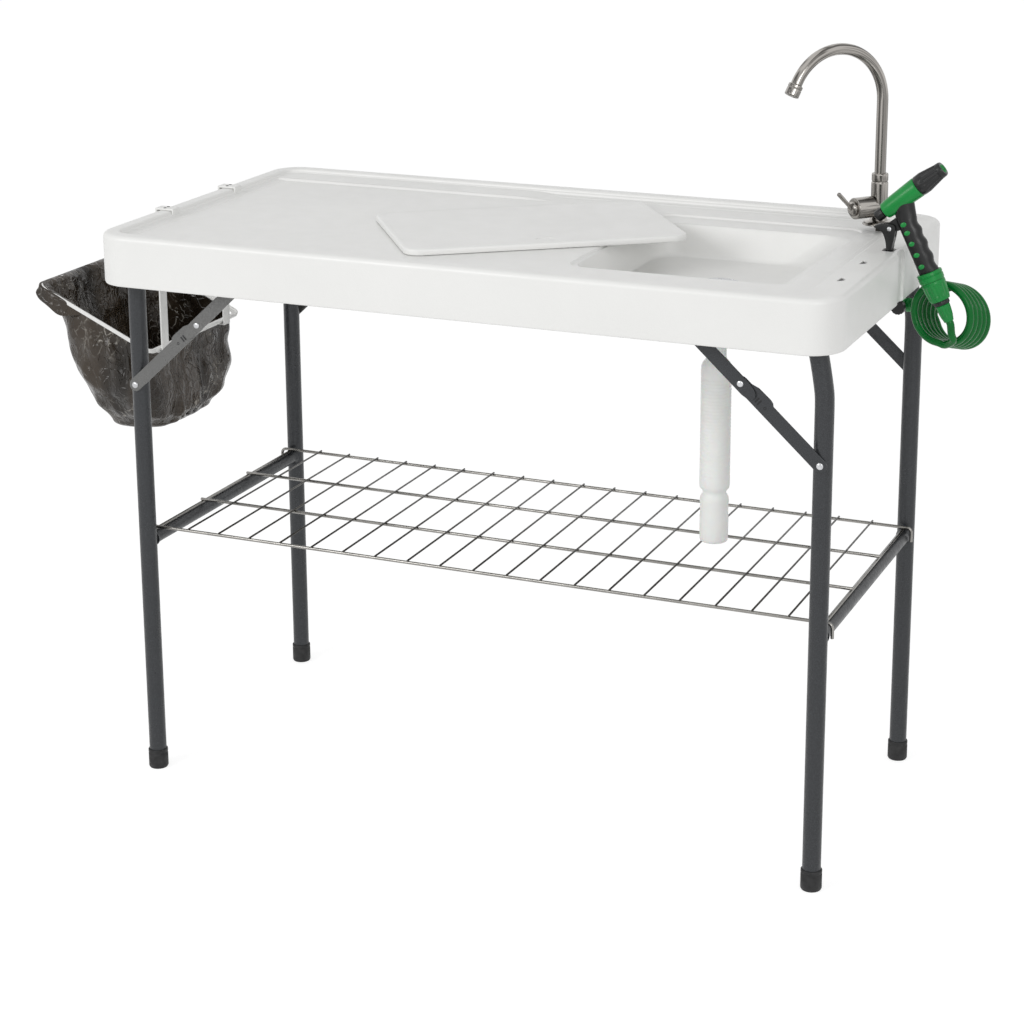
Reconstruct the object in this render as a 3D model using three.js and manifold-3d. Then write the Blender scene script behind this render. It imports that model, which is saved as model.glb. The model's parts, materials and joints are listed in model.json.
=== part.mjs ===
// Folding fish cleaning table with sink, faucet, spray gun, shelf and bag holder.
// Millimetres, +Z up, X along the table with the sink at the right, Y towards the back.
import * as THREE from 'three';
import { mergeVertices } from 'three/addons/utils/BufferGeometryUtils.js';
import Module from 'manifold-3d';

const wasm = await Module();
wasm.setup();

// General clearances
const gap = 0.3;
const overrun = 2;
const weldTolerance = 0.0001;

// Table top
const topLength = 1150;
const topWidth = 608;
const topHeight = 880;
const topCorner = 50;
const skirtDepth = 78;
const skirtWall = 18;
const edgeRound = 8;
const deckDrop = 10;
const deckThickness = 17;
const rimLeft = 26;
const rimRight = 54;
const rimSide = 26;
const recessCorner = 26;

// Sink moulded into the top, placed from the top's right, front and back edges
const sinkLength = 320;
const sinkRightInset = 105;
const sinkFrontInset = 114;
const sinkBackInset = 146;
const sinkDepth = 53;
const sinkFloorThickness = 11;
const sinkWall = 9;
const sinkCorner = 42;
const sinkRightSlope = 62;
const sinkDraft = 14;
const sinkLedge = 46;
const sinkLedgeDrop = 4;

// Slots and gun pocket in the right rim
const slotInset = 30;
const slotFrontY = -175;
const slotBackY = -63;
const slotLength = 24;
const slotWidth = 9;
const pocketDepth = 18;
const pocketWidth = 22;
const pocketReach = 18;
const gunGrooveDepth = 5;
const gunGrooveWidth = 34;

// Drain
const drainInset = 156;
const drainOffset = 2;
const drainBore = 21;
const drainHole = 25;
const drainFlange = 36;
const drainFlangeThickness = 3;
const drainLip = 2.5;
const drainNutRadius = 30;
const drainNutHeight = 11;
const hoseRadius = 21;
const hoseWall = 2.5;
const hoseLength = 372;
const hoseRibPitch = 8;
const hoseRibDepth = 2;
const hoseCuff = 30;
const hoseNeckRadius = 16;
const hoseNeckHeight = 86;
const hoseNeckLength = 18;

// Leg frames
const legRadius = 13.5;
const legSideInset = 62;
const legBend = 32;
const leftLegInset = 38;
const rightLegInset = 30;
const pivotDrop = 43;
const rightPivotInset = 30;
const rightBendDrop = 102;
const rightBendRise = 52;
const footRadius = 15.5;
const footHeight = 32;
const footFloor = 5;
const crossbarRadius = 10;
const crossbarHeight = 381;

// Saddles that hold the pivot tubes under the top
const saddleInset = 92;
const saddleWidth = 26;
const saddleWall = 2;
const saddleFlange = 17;

// Folding braces
const barWidth = 20;
const barThickness = 3;
const braceRivetDrop = 199;
const braceReach = 216;
const lowerLinkLength = 155.35;
const layerGap = 0.3;
const pinRadius = 3.5;
const rivetHead = 5;
const rivetHeadHeight = 2;
const hangerLength = 56;
const hangerTab = 12;

// Wire shelf
const shelfWire = 2.5;
const shelfCrossWire = 1.5;
const shelfEndWire = 2;
const shelfSideGap = 8.5;
const shelfInnerWire = 75;
const shelfPitch = 54;
const shelfFirstInset = 61;
const shelfOverhang = 3;

// Sink cover lying on the top
const coverLength = 428;
const coverWidth = 280;
const coverThickness = 10;
const coverCorner = 25;
const coverInset = 146;
const coverY = 7;
const coverTurn = 36;
const dimpleRadius = 13;
const dimpleDepth = 4;
const dimpleInset = 26;

// Faucet
const faucetInset = 80;
const faucetBackInset = 104;
const faucetFlangeRadius = 24;
const faucetFlangeHeight = 6;
const faucetBodyRadius = 13;
const faucetBodyHeight = 66;
const faucetShankRadius = 5;
const faucetShankLength = 36;
const shankNutRadius = 10;
const shankNutHeight = 5;
const spoutRadius = 8.5;
const spoutHeight = 183;
const spoutArc = 74;
const spoutSweep = 158;
const spoutTurn = 230.7;
const spoutCollarRadius = 12;
const spoutCollarHeight = 12;
const aeratorRadius = 11;
const aeratorLength = 18;
const valveHeight = 28;
const valveRadius = 14;
const valveReach = 27;
const valveStart = 9;
const leverRadius = 2.5;
const leverLength = 28;
const leverHub = 9;
const leverHubLength = 6;

// Spray gun in the vertical plane through gunY: places out from the right end and up from the rim
const gunY = 31;
const barrelTailOut = -27;
const barrelTailUp = 56;
const barrelRise = 39.6;
const barrelLength = 62;
const barrelTailRadius = 9.5;
const barrelNoseRadius = 13.5;
const nozzleLength = 44;
const nozzleBaseRadius = 14;
const nozzleTipRadius = 10;
const nozzleBore = 4;
const nozzleBoreDepth = 12;
const handleTopOut = 4;
const handleTopUp = 48;
const handleMidOut = 21;
const handleMidUp = 14;
const handleEndOut = 40;
const handleEndUp = -27;
const handleRadius = 13.5;
const gunCollarRadius = 17;
const gunCollarLength = 14;
const connectorTopRadius = 16;
const connectorEndRadius = 13;
const connectorLength = 30;
const hoseNutRadius = 8.5;
const hoseNutEndRadius = 6.5;
const hoseNutLength = 26;
const triggerPivotOut = -18;
const triggerPivotUp = 32;
const triggerTipUp = -17.7;
const triggerFootShare = 0.19;
const triggerWidth = 15;
const knobRadius = 7.5;
const knobLength = 13;
const screwRadius = 2.2;
const tongueWidth = 6;
const gunRingRadius = 10.5;
const gunRingLength = 6;

// Recoil hose on the gun, placed from the right end, the gun and the rim
const cordRadius = 5.5;
const coilTurns = 5.2;
const coilRadius = 44;
const coilPitch = 12.6;
const coilStepsPerTurn = 24;
const coilSides = 6;
const coilOut = 53;
const coilBehindGun = 25;
const coilDrop = 93;
const coilAxisTurn = 16;
const coilDroop = 18;

// Hose splitter under the right end
const splitterInset = 27;
const splitterAhead = 50;
const splitterDrop = 108;
const splitterRadius = 11;
const splitterLength = 34;
const splitterBranch = 9;
const splitterBranchLength = 17;

// Bag holder and bag at the left end
const ringReach = 205.9;
const ringHalfWidth = 142;
const ringOuterDrop = 135;
const ringInnerDrop = 227;
const ringBar = 8;
const ringCorner = 14;
const ringBarThickness = 3;
const hangerFrontY = -104;
const hangerBackY = 90;
const clipWidth = 20;
const clipThickness = 3;
const clipLip = 8;
const clipTab = 12;
const bagDrop = 390;
const bagThickness = 4;

// Colours
const white = new THREE.MeshStandardMaterial({ color: 0xeef0f2, roughness: 0.45, metalness: 0 });
const hammered = new THREE.MeshStandardMaterial({ color: 0x4a4d52, roughness: 0.5, metalness: 0.6 });
const steel = new THREE.MeshStandardMaterial({ color: 0xb8b8ba, roughness: 0.3, metalness: 0.9 });
const nickel = new THREE.MeshStandardMaterial({ color: 0xa9a49c, roughness: 0.3, metalness: 0.9 });
const blackPlastic = new THREE.MeshStandardMaterial({ color: 0x17181a, roughness: 0.45, metalness: 0 });
const greenPlastic = new THREE.MeshStandardMaterial({ color: 0x11904a, roughness: 0.35, metalness: 0 });
const hosePlastic = new THREE.MeshStandardMaterial({ color: 0xe9eaea, roughness: 0.5, metalness: 0 });
const bagFilm = new THREE.MeshStandardMaterial({ color: 0x141312, roughness: 0.35, metalness: 0 });
const blackRubber = new THREE.MeshStandardMaterial({ color: 0x141414, roughness: 0.8, metalness: 0 });

// Places worked out from the table's own sizes
const deckZ = topHeight - deckDrop;
const underZ = deckZ - deckThickness;
const skirtZ = topHeight - skirtDepth;
const halfLength = topLength / 2;
const halfWidth = topWidth / 2;
const sinkRight = halfLength - sinkRightInset;
const sinkLeft = sinkRight - sinkLength;
const sinkFront = halfWidth - sinkFrontInset;
const sinkBack = halfWidth - sinkBackInset;
const sinkFloorZ = deckZ - sinkDepth;
const sinkUnderZ = sinkFloorZ - sinkFloorThickness;
const drainX = sinkRight - drainInset;
const drainY = (sinkBack - sinkFront) / 2 + drainOffset;
const slotX = halfLength - slotInset;
const pivotZ = topHeight - pivotDrop;
const leftLegX = leftLegInset - halfLength;
const rightLegX = halfLength - rightLegInset;
const rightPivotX = rightLegX - rightPivotInset;
const legSpread = halfWidth - legSideInset;
const saddleY = legSpread - saddleInset;
const shelfHalfWidth = legSpread - legRadius - shelfSideGap;
const shelfFirstX = leftLegX + shelfFirstInset;
const shelfCrossWires = Math.floor((rightLegX - shelfFirstX) / shelfPitch) + 1;
const faucetX = halfLength - faucetInset;
const faucetY = halfWidth - faucetBackInset;
const barrelTail = at(halfLength + barrelTailOut, gunY, topHeight + barrelTailUp);
const handleTop = at(halfLength + handleTopOut, gunY, topHeight + handleTopUp);
const handleMid = at(halfLength + handleMidOut, gunY, topHeight + handleMidUp);
const handleEnd = at(halfLength + handleEndOut, gunY, topHeight + handleEndUp);
const triggerPivot = at(halfLength + triggerPivotOut, gunY, topHeight + triggerPivotUp);
const triggerSpan = triggerPivotUp - triggerTipUp;
const pocketX = triggerPivot.x - triggerFootShare * triggerSpan - gap;
const barrelDirection = direction(barrelRise);
const coilStart = at(halfLength + coilOut, gunY + coilBehindGun, topHeight - coilDrop);
const splitterCentre = at(halfLength - splitterInset, faucetY - splitterAhead, topHeight - splitterDrop);
const ringInnerX = -halfLength - gap * 2 - clipThickness - ringBarThickness / 2;
const ringOuterX = ringInnerX - ringReach;
const ringOuterZ = topHeight - ringOuterDrop;
const ringInnerZ = topHeight - ringInnerDrop;
const bagBottomZ = topHeight - bagDrop;

function direction(degrees) {
  const angle = THREE.MathUtils.degToRad(degrees);
  return new THREE.Vector3(Math.cos(angle), 0, Math.sin(angle));
}

function at(x, y, z) {
  return new THREE.Vector3(x, y, z);
}

// Merges shared corners, drops the triangles that collapse on an axis and turns faces outwards
function closed(geometry) {
  const bare = geometry.clone();
  bare.deleteAttribute('normal');
  bare.deleteAttribute('uv');
  const merged = mergeVertices(bare, weldTolerance);
  const places = merged.attributes.position;
  const corners = merged.index.array;
  const [a, b, c] = [at(0, 0, 0), at(0, 0, 0), at(0, 0, 0)];
  const kept = [];
  let volume = 0;
  for (let i = 0; i < corners.length; i += 3) {
    const [p, q, r] = corners.slice(i, i + 3);
    if (p === q || q === r || r === p) continue;
    kept.push([p, q, r]);
    a.fromBufferAttribute(places, p);
    b.fromBufferAttribute(places, q);
    c.fromBufferAttribute(places, r);
    volume += a.dot(b.cross(c));
  }
  if (volume < 0) kept.forEach((face) => face.reverse());
  merged.setIndex(kept.flat());
  return merged;
}

function solid(geometry) {
  const whole = closed(geometry);
  return new wasm.Manifold(new wasm.Mesh({
    numProp: 3,
    vertProperties: new Float32Array(whole.attributes.position.array),
    triVerts: new Uint32Array(whole.index.array),
  }));
}

function join(...geometries) {
  return geometries.slice(1).reduce((sum, next) => sum.add(solid(next)), solid(geometries[0]));
}

function surface(manifold) {
  const mesh = manifold.getMesh();
  const geometry = new THREE.BufferGeometry();
  geometry.setAttribute('position', new THREE.BufferAttribute(new Float32Array(mesh.vertProperties), 3));
  geometry.setIndex(new THREE.BufferAttribute(new Uint32Array(mesh.triVerts), 1));
  return geometry;
}

function part(name, shape, material) {
  const geometry = closed(shape.isBufferGeometry ? shape : surface(shape));
  geometry.computeVertexNormals();
  const mesh = new THREE.Mesh(geometry, material);
  mesh.name = name;
  return mesh;
}

// A box between two corners
function block(x0, x1, y0, y1, z0, z1) {
  const geometry = new THREE.BoxGeometry(x1 - x0, y1 - y0, z1 - z0);
  return geometry.translate((x0 + x1) / 2, (y0 + y1) / 2, (z0 + z1) / 2);
}

// A cylinder or cone between two points
function bar(from, to, radius, sides = 16, endRadius = radius) {
  const along = to.clone().sub(from);
  const geometry = new THREE.CylinderGeometry(endRadius, radius, along.length(), sides);
  geometry.translate(0, along.length() / 2, 0);
  geometry.applyQuaternion(new THREE.Quaternion().setFromUnitVectors(at(0, 1, 0), along.normalize()));
  return geometry.translate(from.x, from.y, from.z);
}

// A turned shape about a vertical axis, from [radius, height] pairs
function turned(profile, sides = 24) {
  const geometry = new THREE.LatheGeometry(profile.map(([r, z]) => new THREE.Vector2(r, z)), sides);
  return geometry.rotateX(Math.PI / 2);
}

function roundedOutline(x0, x1, y0, y1, radius) {
  const shape = new THREE.Shape();
  const quarter = Math.PI / 2;
  shape.absarc(x1 - radius, y1 - radius, radius, 0, quarter);
  shape.absarc(x0 + radius, y1 - radius, radius, quarter, 2 * quarter);
  shape.absarc(x0 + radius, y0 + radius, radius, 2 * quarter, 3 * quarter);
  shape.absarc(x1 - radius, y0 + radius, radius, 3 * quarter, 4 * quarter);
  return shape;
}

// An upright plate with the given outline
function plate(shape, z0, z1, curveSegments = 3) {
  const geometry = new THREE.ExtrudeGeometry(shape, { depth: z1 - z0, bevelEnabled: false, curveSegments });
  return geometry.translate(0, 0, z0);
}

function roundedPlate(x0, x1, y0, y1, radius, z0, z1) {
  return plate(roundedOutline(x0, x1, y0, y1, radius), z0, z1);
}

// A level ring of points round a rounded rectangle
function roundedRing(x0, x1, y0, y1, radius, z, cornerSteps = 5) {
  const ring = [];
  const centres = [[x1 - radius, y1 - radius], [x0 + radius, y1 - radius],
    [x0 + radius, y0 + radius], [x1 - radius, y0 + radius]];
  centres.forEach(([x, y], corner) => {
    for (let step = 0; step <= cornerSteps; step += 1) {
      const angle = (corner + step / cornerSteps) * Math.PI / 2;
      ring.push(at(x + radius * Math.cos(angle), y + radius * Math.sin(angle), z));
    }
  });
  return ring;
}

// A closed skin over rings that all have the same number of points
function skinned(rings) {
  const count = rings[0].length;
  const places = rings.flat().flatMap((point) => point.toArray());
  const faces = [];
  for (let level = 0; level + 1 < rings.length; level += 1) {
    for (let i = 0; i < count; i += 1) {
      const [p, q] = [level * count + i, level * count + (i + 1) % count];
      faces.push(p, q, q + count, p, q + count, p + count);
    }
  }
  const last = (rings.length - 1) * count;
  for (let i = 1; i + 1 < count; i += 1) {
    faces.push(0, i + 1, i, last, last + i, last + i + 1);
  }
  const geometry = new THREE.BufferGeometry();
  geometry.setAttribute('position', new THREE.Float32BufferAttribute(places, 3));
  geometry.setIndex(faces);
  return geometry;
}

// A route through given points, one step of a tube for each stretch
class Route extends THREE.Curve {
  constructor(points) {
    super();
    this.points = points;
  }

  getPoint(t, target = at(0, 0, 0)) {
    const place = t * (this.points.length - 1);
    const index = Math.min(Math.floor(place), this.points.length - 2);
    return target.lerpVectors(this.points[index], this.points[index + 1], place - index);
  }

  getTangent(t, target = at(0, 0, 0)) {
    const index = Math.round(t * (this.points.length - 1));
    const before = this.points[Math.max(index - 1, 0)];
    const here = this.points[index];
    const after = this.points[Math.min(index + 1, this.points.length - 1)];
    target.copy(here).sub(before).normalize();
    return target.add(after.clone().sub(here).normalize()).normalize();
  }

  getUtoTmapping(u) {
    return u;
  }
}

function circle(radius, sides) {
  const points = [];
  for (let i = 0; i < sides; i += 1) {
    const angle = (i + 1 / 2) * 2 * Math.PI / sides;
    points.push(new THREE.Vector2(radius * Math.cos(angle), radius * Math.sin(angle)));
  }
  return new THREE.Shape(points);
}

function tube(points, radius, sides = 10) {
  const extrudePath = new Route(points);
  return new THREE.ExtrudeGeometry(circle(radius, sides), { extrudePath, steps: points.length - 1 });
}

// Points of an arc that rounds the corner at middle, between two neighbouring points
function corner(before, middle, after, radius, steps = 5) {
  const back = before.clone().sub(middle).normalize();
  const on = after.clone().sub(middle).normalize();
  const half = back.angleTo(on) / 2;
  const reach = radius / Math.tan(half);
  const curve = new THREE.QuadraticBezierCurve3(
    middle.clone().addScaledVector(back, reach),
    middle,
    middle.clone().addScaledVector(on, reach),
  );
  return curve.getPoints(steps);
}

function tableTop() {
  const inset = edgeRound;
  const [reachX, reachY] = [halfLength - inset, halfWidth - inset];
  const outline = roundedOutline(-reachX, reachX, -reachY, reachY, topCorner - inset);
  const body = new THREE.ExtrudeGeometry(outline, {
    depth: skirtDepth, bevelSize: edgeRound, bevelThickness: edgeRound, bevelSegments: 3, curveSegments: 4,
  });
  body.translate(0, 0, topHeight - skirtDepth - edgeRound);
  const reach = halfLength + overrun;
  const below = block(-reach, reach, -reach, reach, skirtZ - skirtDepth, skirtZ);
  const hollow = roundedPlate(-halfLength + skirtWall, halfLength - skirtWall, -halfWidth + skirtWall,
    halfWidth - skirtWall, topCorner - skirtWall, skirtZ - overrun, underZ);
  const recess = roundedPlate(-halfLength + rimLeft, halfLength - rimRight, -halfWidth + rimSide,
    halfWidth - rimSide, recessCorner, deckZ, topHeight + overrun);
  const sinkOuter = skinned([
    roundedRing(sinkLeft + sinkDraft - sinkWall, sinkRight - sinkRightSlope + sinkWall,
      -sinkFront + sinkDraft - sinkWall, sinkBack - sinkDraft + sinkWall, sinkCorner, sinkUnderZ),
    roundedRing(sinkLeft - sinkWall, sinkRight + sinkWall, -sinkFront - sinkWall, sinkBack + sinkWall,
      sinkCorner, underZ + overrun),
  ]);
  const bowl = skinned([
    roundedRing(sinkLeft + sinkDraft, sinkRight - sinkRightSlope, sinkDraft - sinkFront,
      sinkBack - sinkDraft, sinkCorner, sinkFloorZ),
    roundedRing(sinkLeft, sinkRight, -sinkFront, sinkBack, sinkCorner, deckZ),
    roundedRing(sinkLeft, sinkRight, -sinkFront, sinkBack, sinkCorner, topHeight),
  ]);
  const ledge = roundedPlate(sinkLeft, sinkRight, 0, sinkBack + sinkLedge, recessCorner,
    deckZ - sinkLedgeDrop, topHeight);
  let top = solid(body).subtract(solid(below)).subtract(solid(hollow)).subtract(solid(recess));
  top = top.add(solid(sinkOuter)).subtract(solid(bowl)).subtract(solid(ledge));
  const holes = [
    bar(at(drainX, drainY, sinkUnderZ - overrun), at(drainX, drainY, sinkFloorZ + overrun), drainHole, 24),
    bar(at(faucetX, faucetY, underZ - overrun), at(faucetX, faucetY, topHeight + overrun),
      faucetShankRadius + gap, 12),
    fingerSlot(slotFrontY),
    fingerSlot(slotBackY),
    roundedPlate(pocketX, pocketX + pocketReach, gunY - pocketWidth / 2, gunY + pocketWidth / 2, overrun,
      topHeight - pocketDepth, topHeight + overrun),
    block(halfLength - gunGrooveDepth, halfLength + overrun, gunY - gunGrooveWidth / 2,
      gunY + gunGrooveWidth / 2, skirtZ - overrun, topHeight + overrun),
  ];
  holes.forEach((hole) => {
    top = top.subtract(solid(hole));
  });
  return part('table_top', top, white);
}

// Half-moon slot through the right rim, its flat side inwards
function fingerSlot(y) {
  const shape = new THREE.Shape();
  shape.moveTo(slotX - slotWidth / 2, y - slotLength / 2);
  shape.quadraticCurveTo(slotX + slotWidth * 3 / 2, y, slotX - slotWidth / 2, y + slotLength / 2);
  return plate(shape, underZ - overrun, topHeight + overrun);
}

function drain() {
  const floor = sinkFloorZ;
  const tailEnd = sinkUnderZ - gap - drainNutHeight;
  const flange = turned([
    [drainBore, floor + drainLip - drainFlangeThickness],
    [drainFlange - drainFlangeThickness, floor + drainFlangeThickness],
    [drainFlange, floor + gap],
    [drainHole - gap, floor + gap],
    [drainHole - gap, tailEnd],
    [drainBore, tailEnd],
    [drainBore, floor + drainLip - drainFlangeThickness],
  ], 24).translate(drainX, drainY, 0);
  const nut = turned([
    [drainHole, sinkUnderZ - gap],
    [drainNutRadius, sinkUnderZ - gap],
    [drainNutRadius, sinkUnderZ - gap - drainNutHeight],
    [drainHole, sinkUnderZ - gap - drainNutHeight],
    [drainHole, sinkUnderZ - gap],
  ], 24).translate(drainX, drainY, 0);
  return [part('drain_flange', flange, steel), part('drain_nut', nut, hosePlastic)];
}

// Ribbed drain hose: a smooth cuff on the drain tail, ribs, a narrow neck and a second ribbed end
function drainHose() {
  const topZ = sinkUnderZ - gap * 2 - drainNutHeight;
  const bottomZ = topZ - hoseLength;
  const bore = hoseRadius - hoseWall - hoseRibDepth;
  const neckTop = bottomZ + hoseNeckHeight + hoseNeckLength;
  const outer = [];
  outer.push([hoseRadius + hoseWall, topZ], [hoseRadius + hoseWall, topZ - hoseCuff]);
  let z = topZ - hoseCuff - hoseRibPitch / 2;
  for (; z > bottomZ + hoseRadius; z -= hoseRibPitch) {
    const neck = z < neckTop && z > bottomZ + hoseNeckHeight;
    const radius = neck ? hoseNeckRadius + hoseWall : hoseRadius;
    outer.push([radius, z], [radius - hoseRibDepth, z - hoseRibPitch / 2]);
  }
  outer.push([hoseRadius, bottomZ + hoseRadius], [hoseRadius, bottomZ]);
  const inner = [
    [bore, bottomZ],
    [bore, bottomZ + hoseNeckHeight - hoseRibPitch],
    [hoseNeckRadius - hoseWall, bottomZ + hoseNeckHeight],
    [hoseNeckRadius - hoseWall, neckTop],
    [bore, neckTop + hoseRibPitch],
    [bore, topZ],
  ];
  const profile = [...outer, ...inner, outer[0]];
  return part('drain_hose', turned(profile, 8).translate(drainX, drainY, 0), hosePlastic);
}

// One bent tube: two legs and, across their top, the tube that turns in the saddles
function legTube(side) {
  const points = [];
  const half = (sign) => {
    const y = sign * legSpread;
    const top = at(side.pivotX, y, pivotZ);
    const inner = at(side.pivotX, 0, pivotZ);
    const bend = corner(at(side.pivotX, y, skirtZ), top, inner, legBend, 4);
    if (side.pivotX === side.legX) return [at(side.legX, y, footFloor), ...bend];
    const bendZ = pivotZ - rightBendDrop;
    const curve = new THREE.CubicBezierCurve3(
      at(side.legX, y, bendZ),
      at(side.legX, y, bendZ + rightBendRise / 2),
      at(side.pivotX, y, bendZ + rightBendRise / 2),
      at(side.pivotX, y, bendZ + rightBendRise),
    );
    return [at(side.legX, y, footFloor), ...curve.getPoints(6), ...bend];
  };
  points.push(...half(-1), ...half(1).reverse());
  return tube(points, legRadius, 12);
}

function foot(side, y) {
  return turned([
    [0, 0],
    [footRadius - overrun, 0],
    [footRadius, overrun],
    [footRadius, footHeight],
    [legRadius + gap, footHeight],
    [legRadius + gap, footFloor - gap],
    [0, footFloor - gap],
  ], 16).translate(side.legX, y, 0);
}

function legFrame(side) {
  const reach = legSpread - legRadius - gap;
  const middle = at(side.legX, 0, crossbarHeight);
  const half = at(0, reach, 0);
  const crossbar = bar(middle.clone().sub(half), middle.clone().add(half), crossbarRadius, 12);
  return [
    part(`${side.name}_leg_tube`, legTube(side), hammered),
    part(`${side.name}_crossbar`, crossbar, hammered),
    part(`${side.name}_foot_front`, foot(side, -legSpread), blackRubber),
    part(`${side.name}_foot_back`, foot(side, legSpread), blackRubber),
  ];
}

// Pressed strap round the pivot tube, with a flange screwed up under the deck on its inner side
function saddle(side, y) {
  const outer = legRadius + gap + saddleWall;
  const shape = new THREE.Shape();
  const top = underZ - gap;
  shape.moveTo(-outer, top);
  shape.absarc(0, pivotZ, outer, -Math.PI, 0);
  shape.lineTo(outer, top - saddleWall);
  shape.lineTo(outer + saddleFlange, top - saddleWall);
  shape.lineTo(outer + saddleFlange, top);
  shape.lineTo(outer - saddleWall, top);
  shape.absarc(0, pivotZ, outer - saddleWall, 0, -Math.PI, true);
  shape.lineTo(saddleWall - outer, top);
  const form = { depth: saddleWidth, bevelEnabled: false, curveSegments: 6 };
  const geometry = new THREE.ExtrudeGeometry(shape, form);
  geometry.rotateX(Math.PI / 2).scale(-Math.sign(side.pivotX), 1, 1);
  return geometry.translate(side.pivotX, y + saddleWidth / 2, 0);
}

// A flat bar with round ends from one pin to the next, standing in a plane of constant Y
function link(from, to, y0, y1) {
  const along = Math.atan2(to.z - from.z, to.x - from.x);
  const length = Math.hypot(to.x - from.x, to.z - from.z);
  const shape = new THREE.Shape();
  shape.absarc(length, 0, barWidth / 2, -Math.PI / 2, Math.PI / 2);
  shape.absarc(0, 0, barWidth / 2, Math.PI / 2, 3 * Math.PI / 2);
  const form = { depth: y1 - y0, bevelEnabled: false, curveSegments: 4 };
  const geometry = new THREE.ExtrudeGeometry(shape, form);
  geometry.rotateX(Math.PI / 2);
  geometry.rotateY(-along);
  return geometry.translate(from.x, y1, from.z);
}

// Middle pin of an open brace, whose two links lie in one straight line
function elbow(rivet, hangerPin) {
  const along = hangerPin.clone().sub(rivet).normalize();
  return rivet.clone().addScaledVector(along, lowerLinkLength);
}

const lowerLayer = legSpread + legRadius + gap;
const upperLayer = lowerLayer + barThickness + layerGap;
const hangerLayer = upperLayer + barThickness + layerGap;

function mirrored(geometry, back) {
  return back ? geometry : closed(geometry.clone().scale(1, -1, 1));
}

function brace(side, back) {
  const place = back ? 'back' : 'front';
  const rivet = at(side.legX, 0, pivotZ - braceRivetDrop);
  const hangerPin = at(side.hangerX, 0, pivotZ);
  const middle = elbow(rivet, hangerPin);
  const flat = (x, y, z) => at(x, y, z);
  const lower = join(
    link(rivet, middle, lowerLayer, lowerLayer + barThickness),
    bar(flat(rivet.x, lowerLayer + barThickness - overrun / 2, rivet.z),
      flat(rivet.x, lowerLayer + barThickness + rivetHeadHeight, rivet.z), rivetHead, 12),
    bar(flat(middle.x, lowerLayer + barThickness - overrun / 2, middle.z),
      flat(middle.x, upperLayer + barThickness + rivetHeadHeight, middle.z), pinRadius, 10),
  );
  const bore = (pin) => bar(flat(pin.x, lowerLayer, pin.z), flat(pin.x, hangerLayer + barThickness, pin.z),
    pinRadius + gap, 10);
  const upper = solid(link(middle, hangerPin, upperLayer, upperLayer + barThickness))
    .subtract(solid(bore(middle))).subtract(solid(bore(hangerPin)));
  const hanger = join(
    block(hangerPin.x - barWidth / 2, hangerPin.x + barWidth / 2, hangerLayer, hangerLayer + barThickness,
      hangerPin.z - barWidth / 2, underZ - gap),
    block(hangerPin.x - hangerLength / 2, hangerPin.x + hangerLength / 2, hangerLayer,
      hangerLayer + hangerTab, underZ - gap - barThickness / 2, underZ - gap),
    bar(flat(hangerPin.x, upperLayer, hangerPin.z),
      flat(hangerPin.x, hangerLayer + overrun / 2, hangerPin.z), pinRadius, 10),
  );
  return [
    part(`${side.name}_lower_link_${place}`, mirrored(surface(lower), back), hammered),
    part(`${side.name}_upper_link_${place}`, mirrored(surface(upper), back), hammered),
    part(`${side.name}_brace_hanger_${place}`, mirrored(surface(hanger), back), hammered),
  ];
}

function shelf() {
  const longZ = crossbarHeight + crossbarRadius + gap + shelfEndWire * 2 + gap + shelfWire;
  const leftX = leftLegX - shelfOverhang;
  const rightX = rightLegX + shelfOverhang;
  const wires = [-shelfHalfWidth, -shelfInnerWire, shelfInnerWire, shelfHalfWidth].map((y) => (
    bar(at(leftX, y, longZ), at(rightX, y, longZ), shelfWire, 8)));
  const endZ = longZ - shelfWire - gap - shelfEndWire;
  const endReach = shelfHalfWidth + shelfWire;
  const leftEnd = bar(at(leftLegX, -endReach, endZ + gap * 2), at(leftLegX, endReach, endZ + gap * 2),
    shelfEndWire + gap, 6);
  const crossZ = longZ + shelfWire + shelfCrossWire / 2;
  const crosses = [];
  for (let i = 0; i < shelfCrossWires; i += 1) {
    const x = shelfFirstX + i * shelfPitch;
    crosses.push(bar(at(x, -endReach, crossZ), at(x, endReach, crossZ), shelfCrossWire, 5));
  }
  const rightEnd = bar(at(rightLegX, -endReach, endZ), at(rightLegX, endReach, endZ), shelfEndWire, 8);
  return [
    part('shelf_grid', join(...wires, leftEnd, ...crosses), steel),
    part('shelf_end_wire', rightEnd, steel),
  ];
}

function sinkCover() {
  const [long, wide] = [coverLength / 2, coverWidth / 2];
  const slab = solid(roundedPlate(-long, long, -wide, wide, coverCorner, 0, coverThickness));
  const dimple = bar(at(long - dimpleInset, 0, coverThickness - dimpleDepth),
    at(long - dimpleInset, 0, coverThickness + overrun), dimpleRadius, 14);
  const geometry = surface(slab.subtract(solid(dimple)));
  geometry.rotateZ(THREE.MathUtils.degToRad(coverTurn));
  return part('sink_cover', geometry.translate(sinkLeft - coverInset, coverY, deckZ + gap), white);
}

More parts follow.
